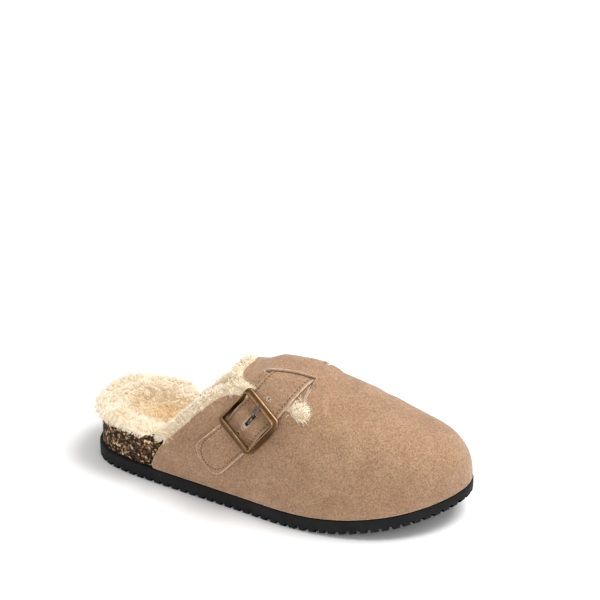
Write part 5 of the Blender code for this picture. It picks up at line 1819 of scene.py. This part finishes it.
def studio():
    """Camera, pale floor, soft lights."""
    scene = bpy.context.scene
    turn, rise = math.radians(CAMERA_AZIMUTH), math.radians(CAMERA_ELEVATION)
    right = Vector((math.cos(turn), math.sin(turn), 0))
    back = Vector((math.sin(turn) * math.cos(rise), -math.cos(turn) * math.cos(rise), math.sin(rise)))
    up = back.cross(right)
    per_pixel = 1 / CAMERA_SCALE
    half = FRAME_PIXELS / 2
    target = Vector(CAMERA_TARGET) + SHIFT
    aim = target + right * (half - TARGET_PIXEL[0]) * per_pixel
    aim += up * (TARGET_PIXEL[1] - half) * per_pixel
    data = bpy.data.cameras.new("camera")
    data.sensor_width = SENSOR
    data.lens = CAMERA_SCALE * CAMERA_DISTANCE * SENSOR / FRAME_PIXELS
    data.clip_end = VIEW_REACH
    camera = bpy.data.objects.new("camera", data)
    scene.collection.objects.link(camera)
    camera.matrix_world = Matrix((
        (right.x, up.x, back.x, 0), (right.y, up.y, back.y, 0), (right.z, up.z, back.z, 0),
        (0, 0, 0, 1),
    ))
    camera.location = aim + back * CAMERA_DISTANCE
    scene.camera = camera

    floor_paint = bpy.data.materials.new("floor_paint")
    floor_paint.use_nodes = True
    paint = floor_paint.node_tree.nodes["Principled BSDF"].inputs
    paint["Base Color"].default_value = (FLOOR_WHITE, FLOOR_WHITE, FLOOR_WHITE, 1)
    paint["Roughness"].default_value = 1.0
    paint["Specular IOR Level"].default_value = 0.0
    mesh = bpy.data.meshes.new("floor")
    signs = ((-1, -1), (1, -1), (1, 1), (-1, 1))
    corners = [(sx * FLOOR_REACH, sy * FLOOR_REACH, 0) for sx, sy in signs]
    mesh.from_pydata(corners, [], [(0, 1, 2, 3)])
    mesh.materials.append(floor_paint)
    floor = bpy.data.objects.new("floor", mesh)
    scene.collection.objects.link(floor)

    world = bpy.data.worlds.new("studio")
    world.use_nodes = True
    world.node_tree.nodes["Background"].inputs["Color"].default_value = (1, 1, 1, 1)
    world.node_tree.nodes["Background"].inputs["Strength"].default_value = WORLD_LIGHT
    scene.world = world
    scene.view_settings.view_transform = "Standard"
    for name, place, size, power in LAMPS:
        lamp = bpy.data.lights.new(name, "AREA")
        lamp.size = size
        lamp.energy = power
        holder = bpy.data.objects.new(name, lamp)
        scene.collection.objects.link(holder)
        start = Vector(place)
        holder.location = start
        holder.rotation_euler = (Vector((0, 0, 0.04)) - start).to_track_quat("-Z", "Y").to_euler()


def main():
    """Build every piece, attach it to the root body, hide the part node it stands in for, then set up
    the studio.
    """
    last = Last()
    strap = Strap(last)
    suede = suede_material("suede", SUEDE_LIGHT, SUEDE_DARK)
    # Cut edges: the raw edge's own tone, partly a painted highlight
    raw_edge_and_highlight = suede_material("raw_edge_and_highlight", RAW_EDGE_AND_HIGHLIGHT_LIGHT, RAW_EDGE_AND_HIGHLIGHT_DARK)
    pile = fleece_material("fleece_depth", False)
    hair = fleece_material("fleece_hair", True)
    bronze = bronze_material()
    pieces = [
        (make_outsole(rubber_material()), "rubber", "outsole"),
        (make_cork(cork_material()), "cork", "midsole"),
        (make_upper(last, strap, suede, raw_edge_and_highlight), "suede", "upper"),
        (make_strap(strap, suede, raw_edge_and_highlight), "suede", "instep_strap"),
        (make_buckle(strap, bronze), "bronze", "buckle_frame"),
        (make_prong(strap, steel_material()), "prong", "buckle_prong"),
    ]
    footbed = make_insole_base(pile)
    lining = make_lining_base(last, strap, pile)
    pieces += [(footbed, "fleece", "insole_fleece"), (lining, "fleece", "lining_fleece")]
    strands = strand_tree(hair)
    share = 1.0
    for part, base, density, first_seed in (
        ("footbed", footbed, FOOTBED_DENSITY, STRAND_SEED + 1),
        ("collar", lining, COLLAR_DENSITY, STRAND_SEED + 5),
    ):
        for number, letter in enumerate("abc"):
            values = {
                "Density": density * share, "Seed": first_seed + number,
                "Length": STRAND_LENGTH, "Radius": STRAND_RADIUS,
            }
            name = f"{part}_strands_{letter}"
            pieces.append((grow_strands(name, base, strands, values, hair), "fleece", None))
    thread = thread_material()
    pieces.append((make_stitches(strap, stitch_tree(thread)), "suede", None))
    pieces.append((make_eyelets(strap, eyelet_material()), "bronze", None))
    for piece, slot, node in pieces:
        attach(piece, "root")
        if node is not None:
            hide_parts(node)
    studio()


main()
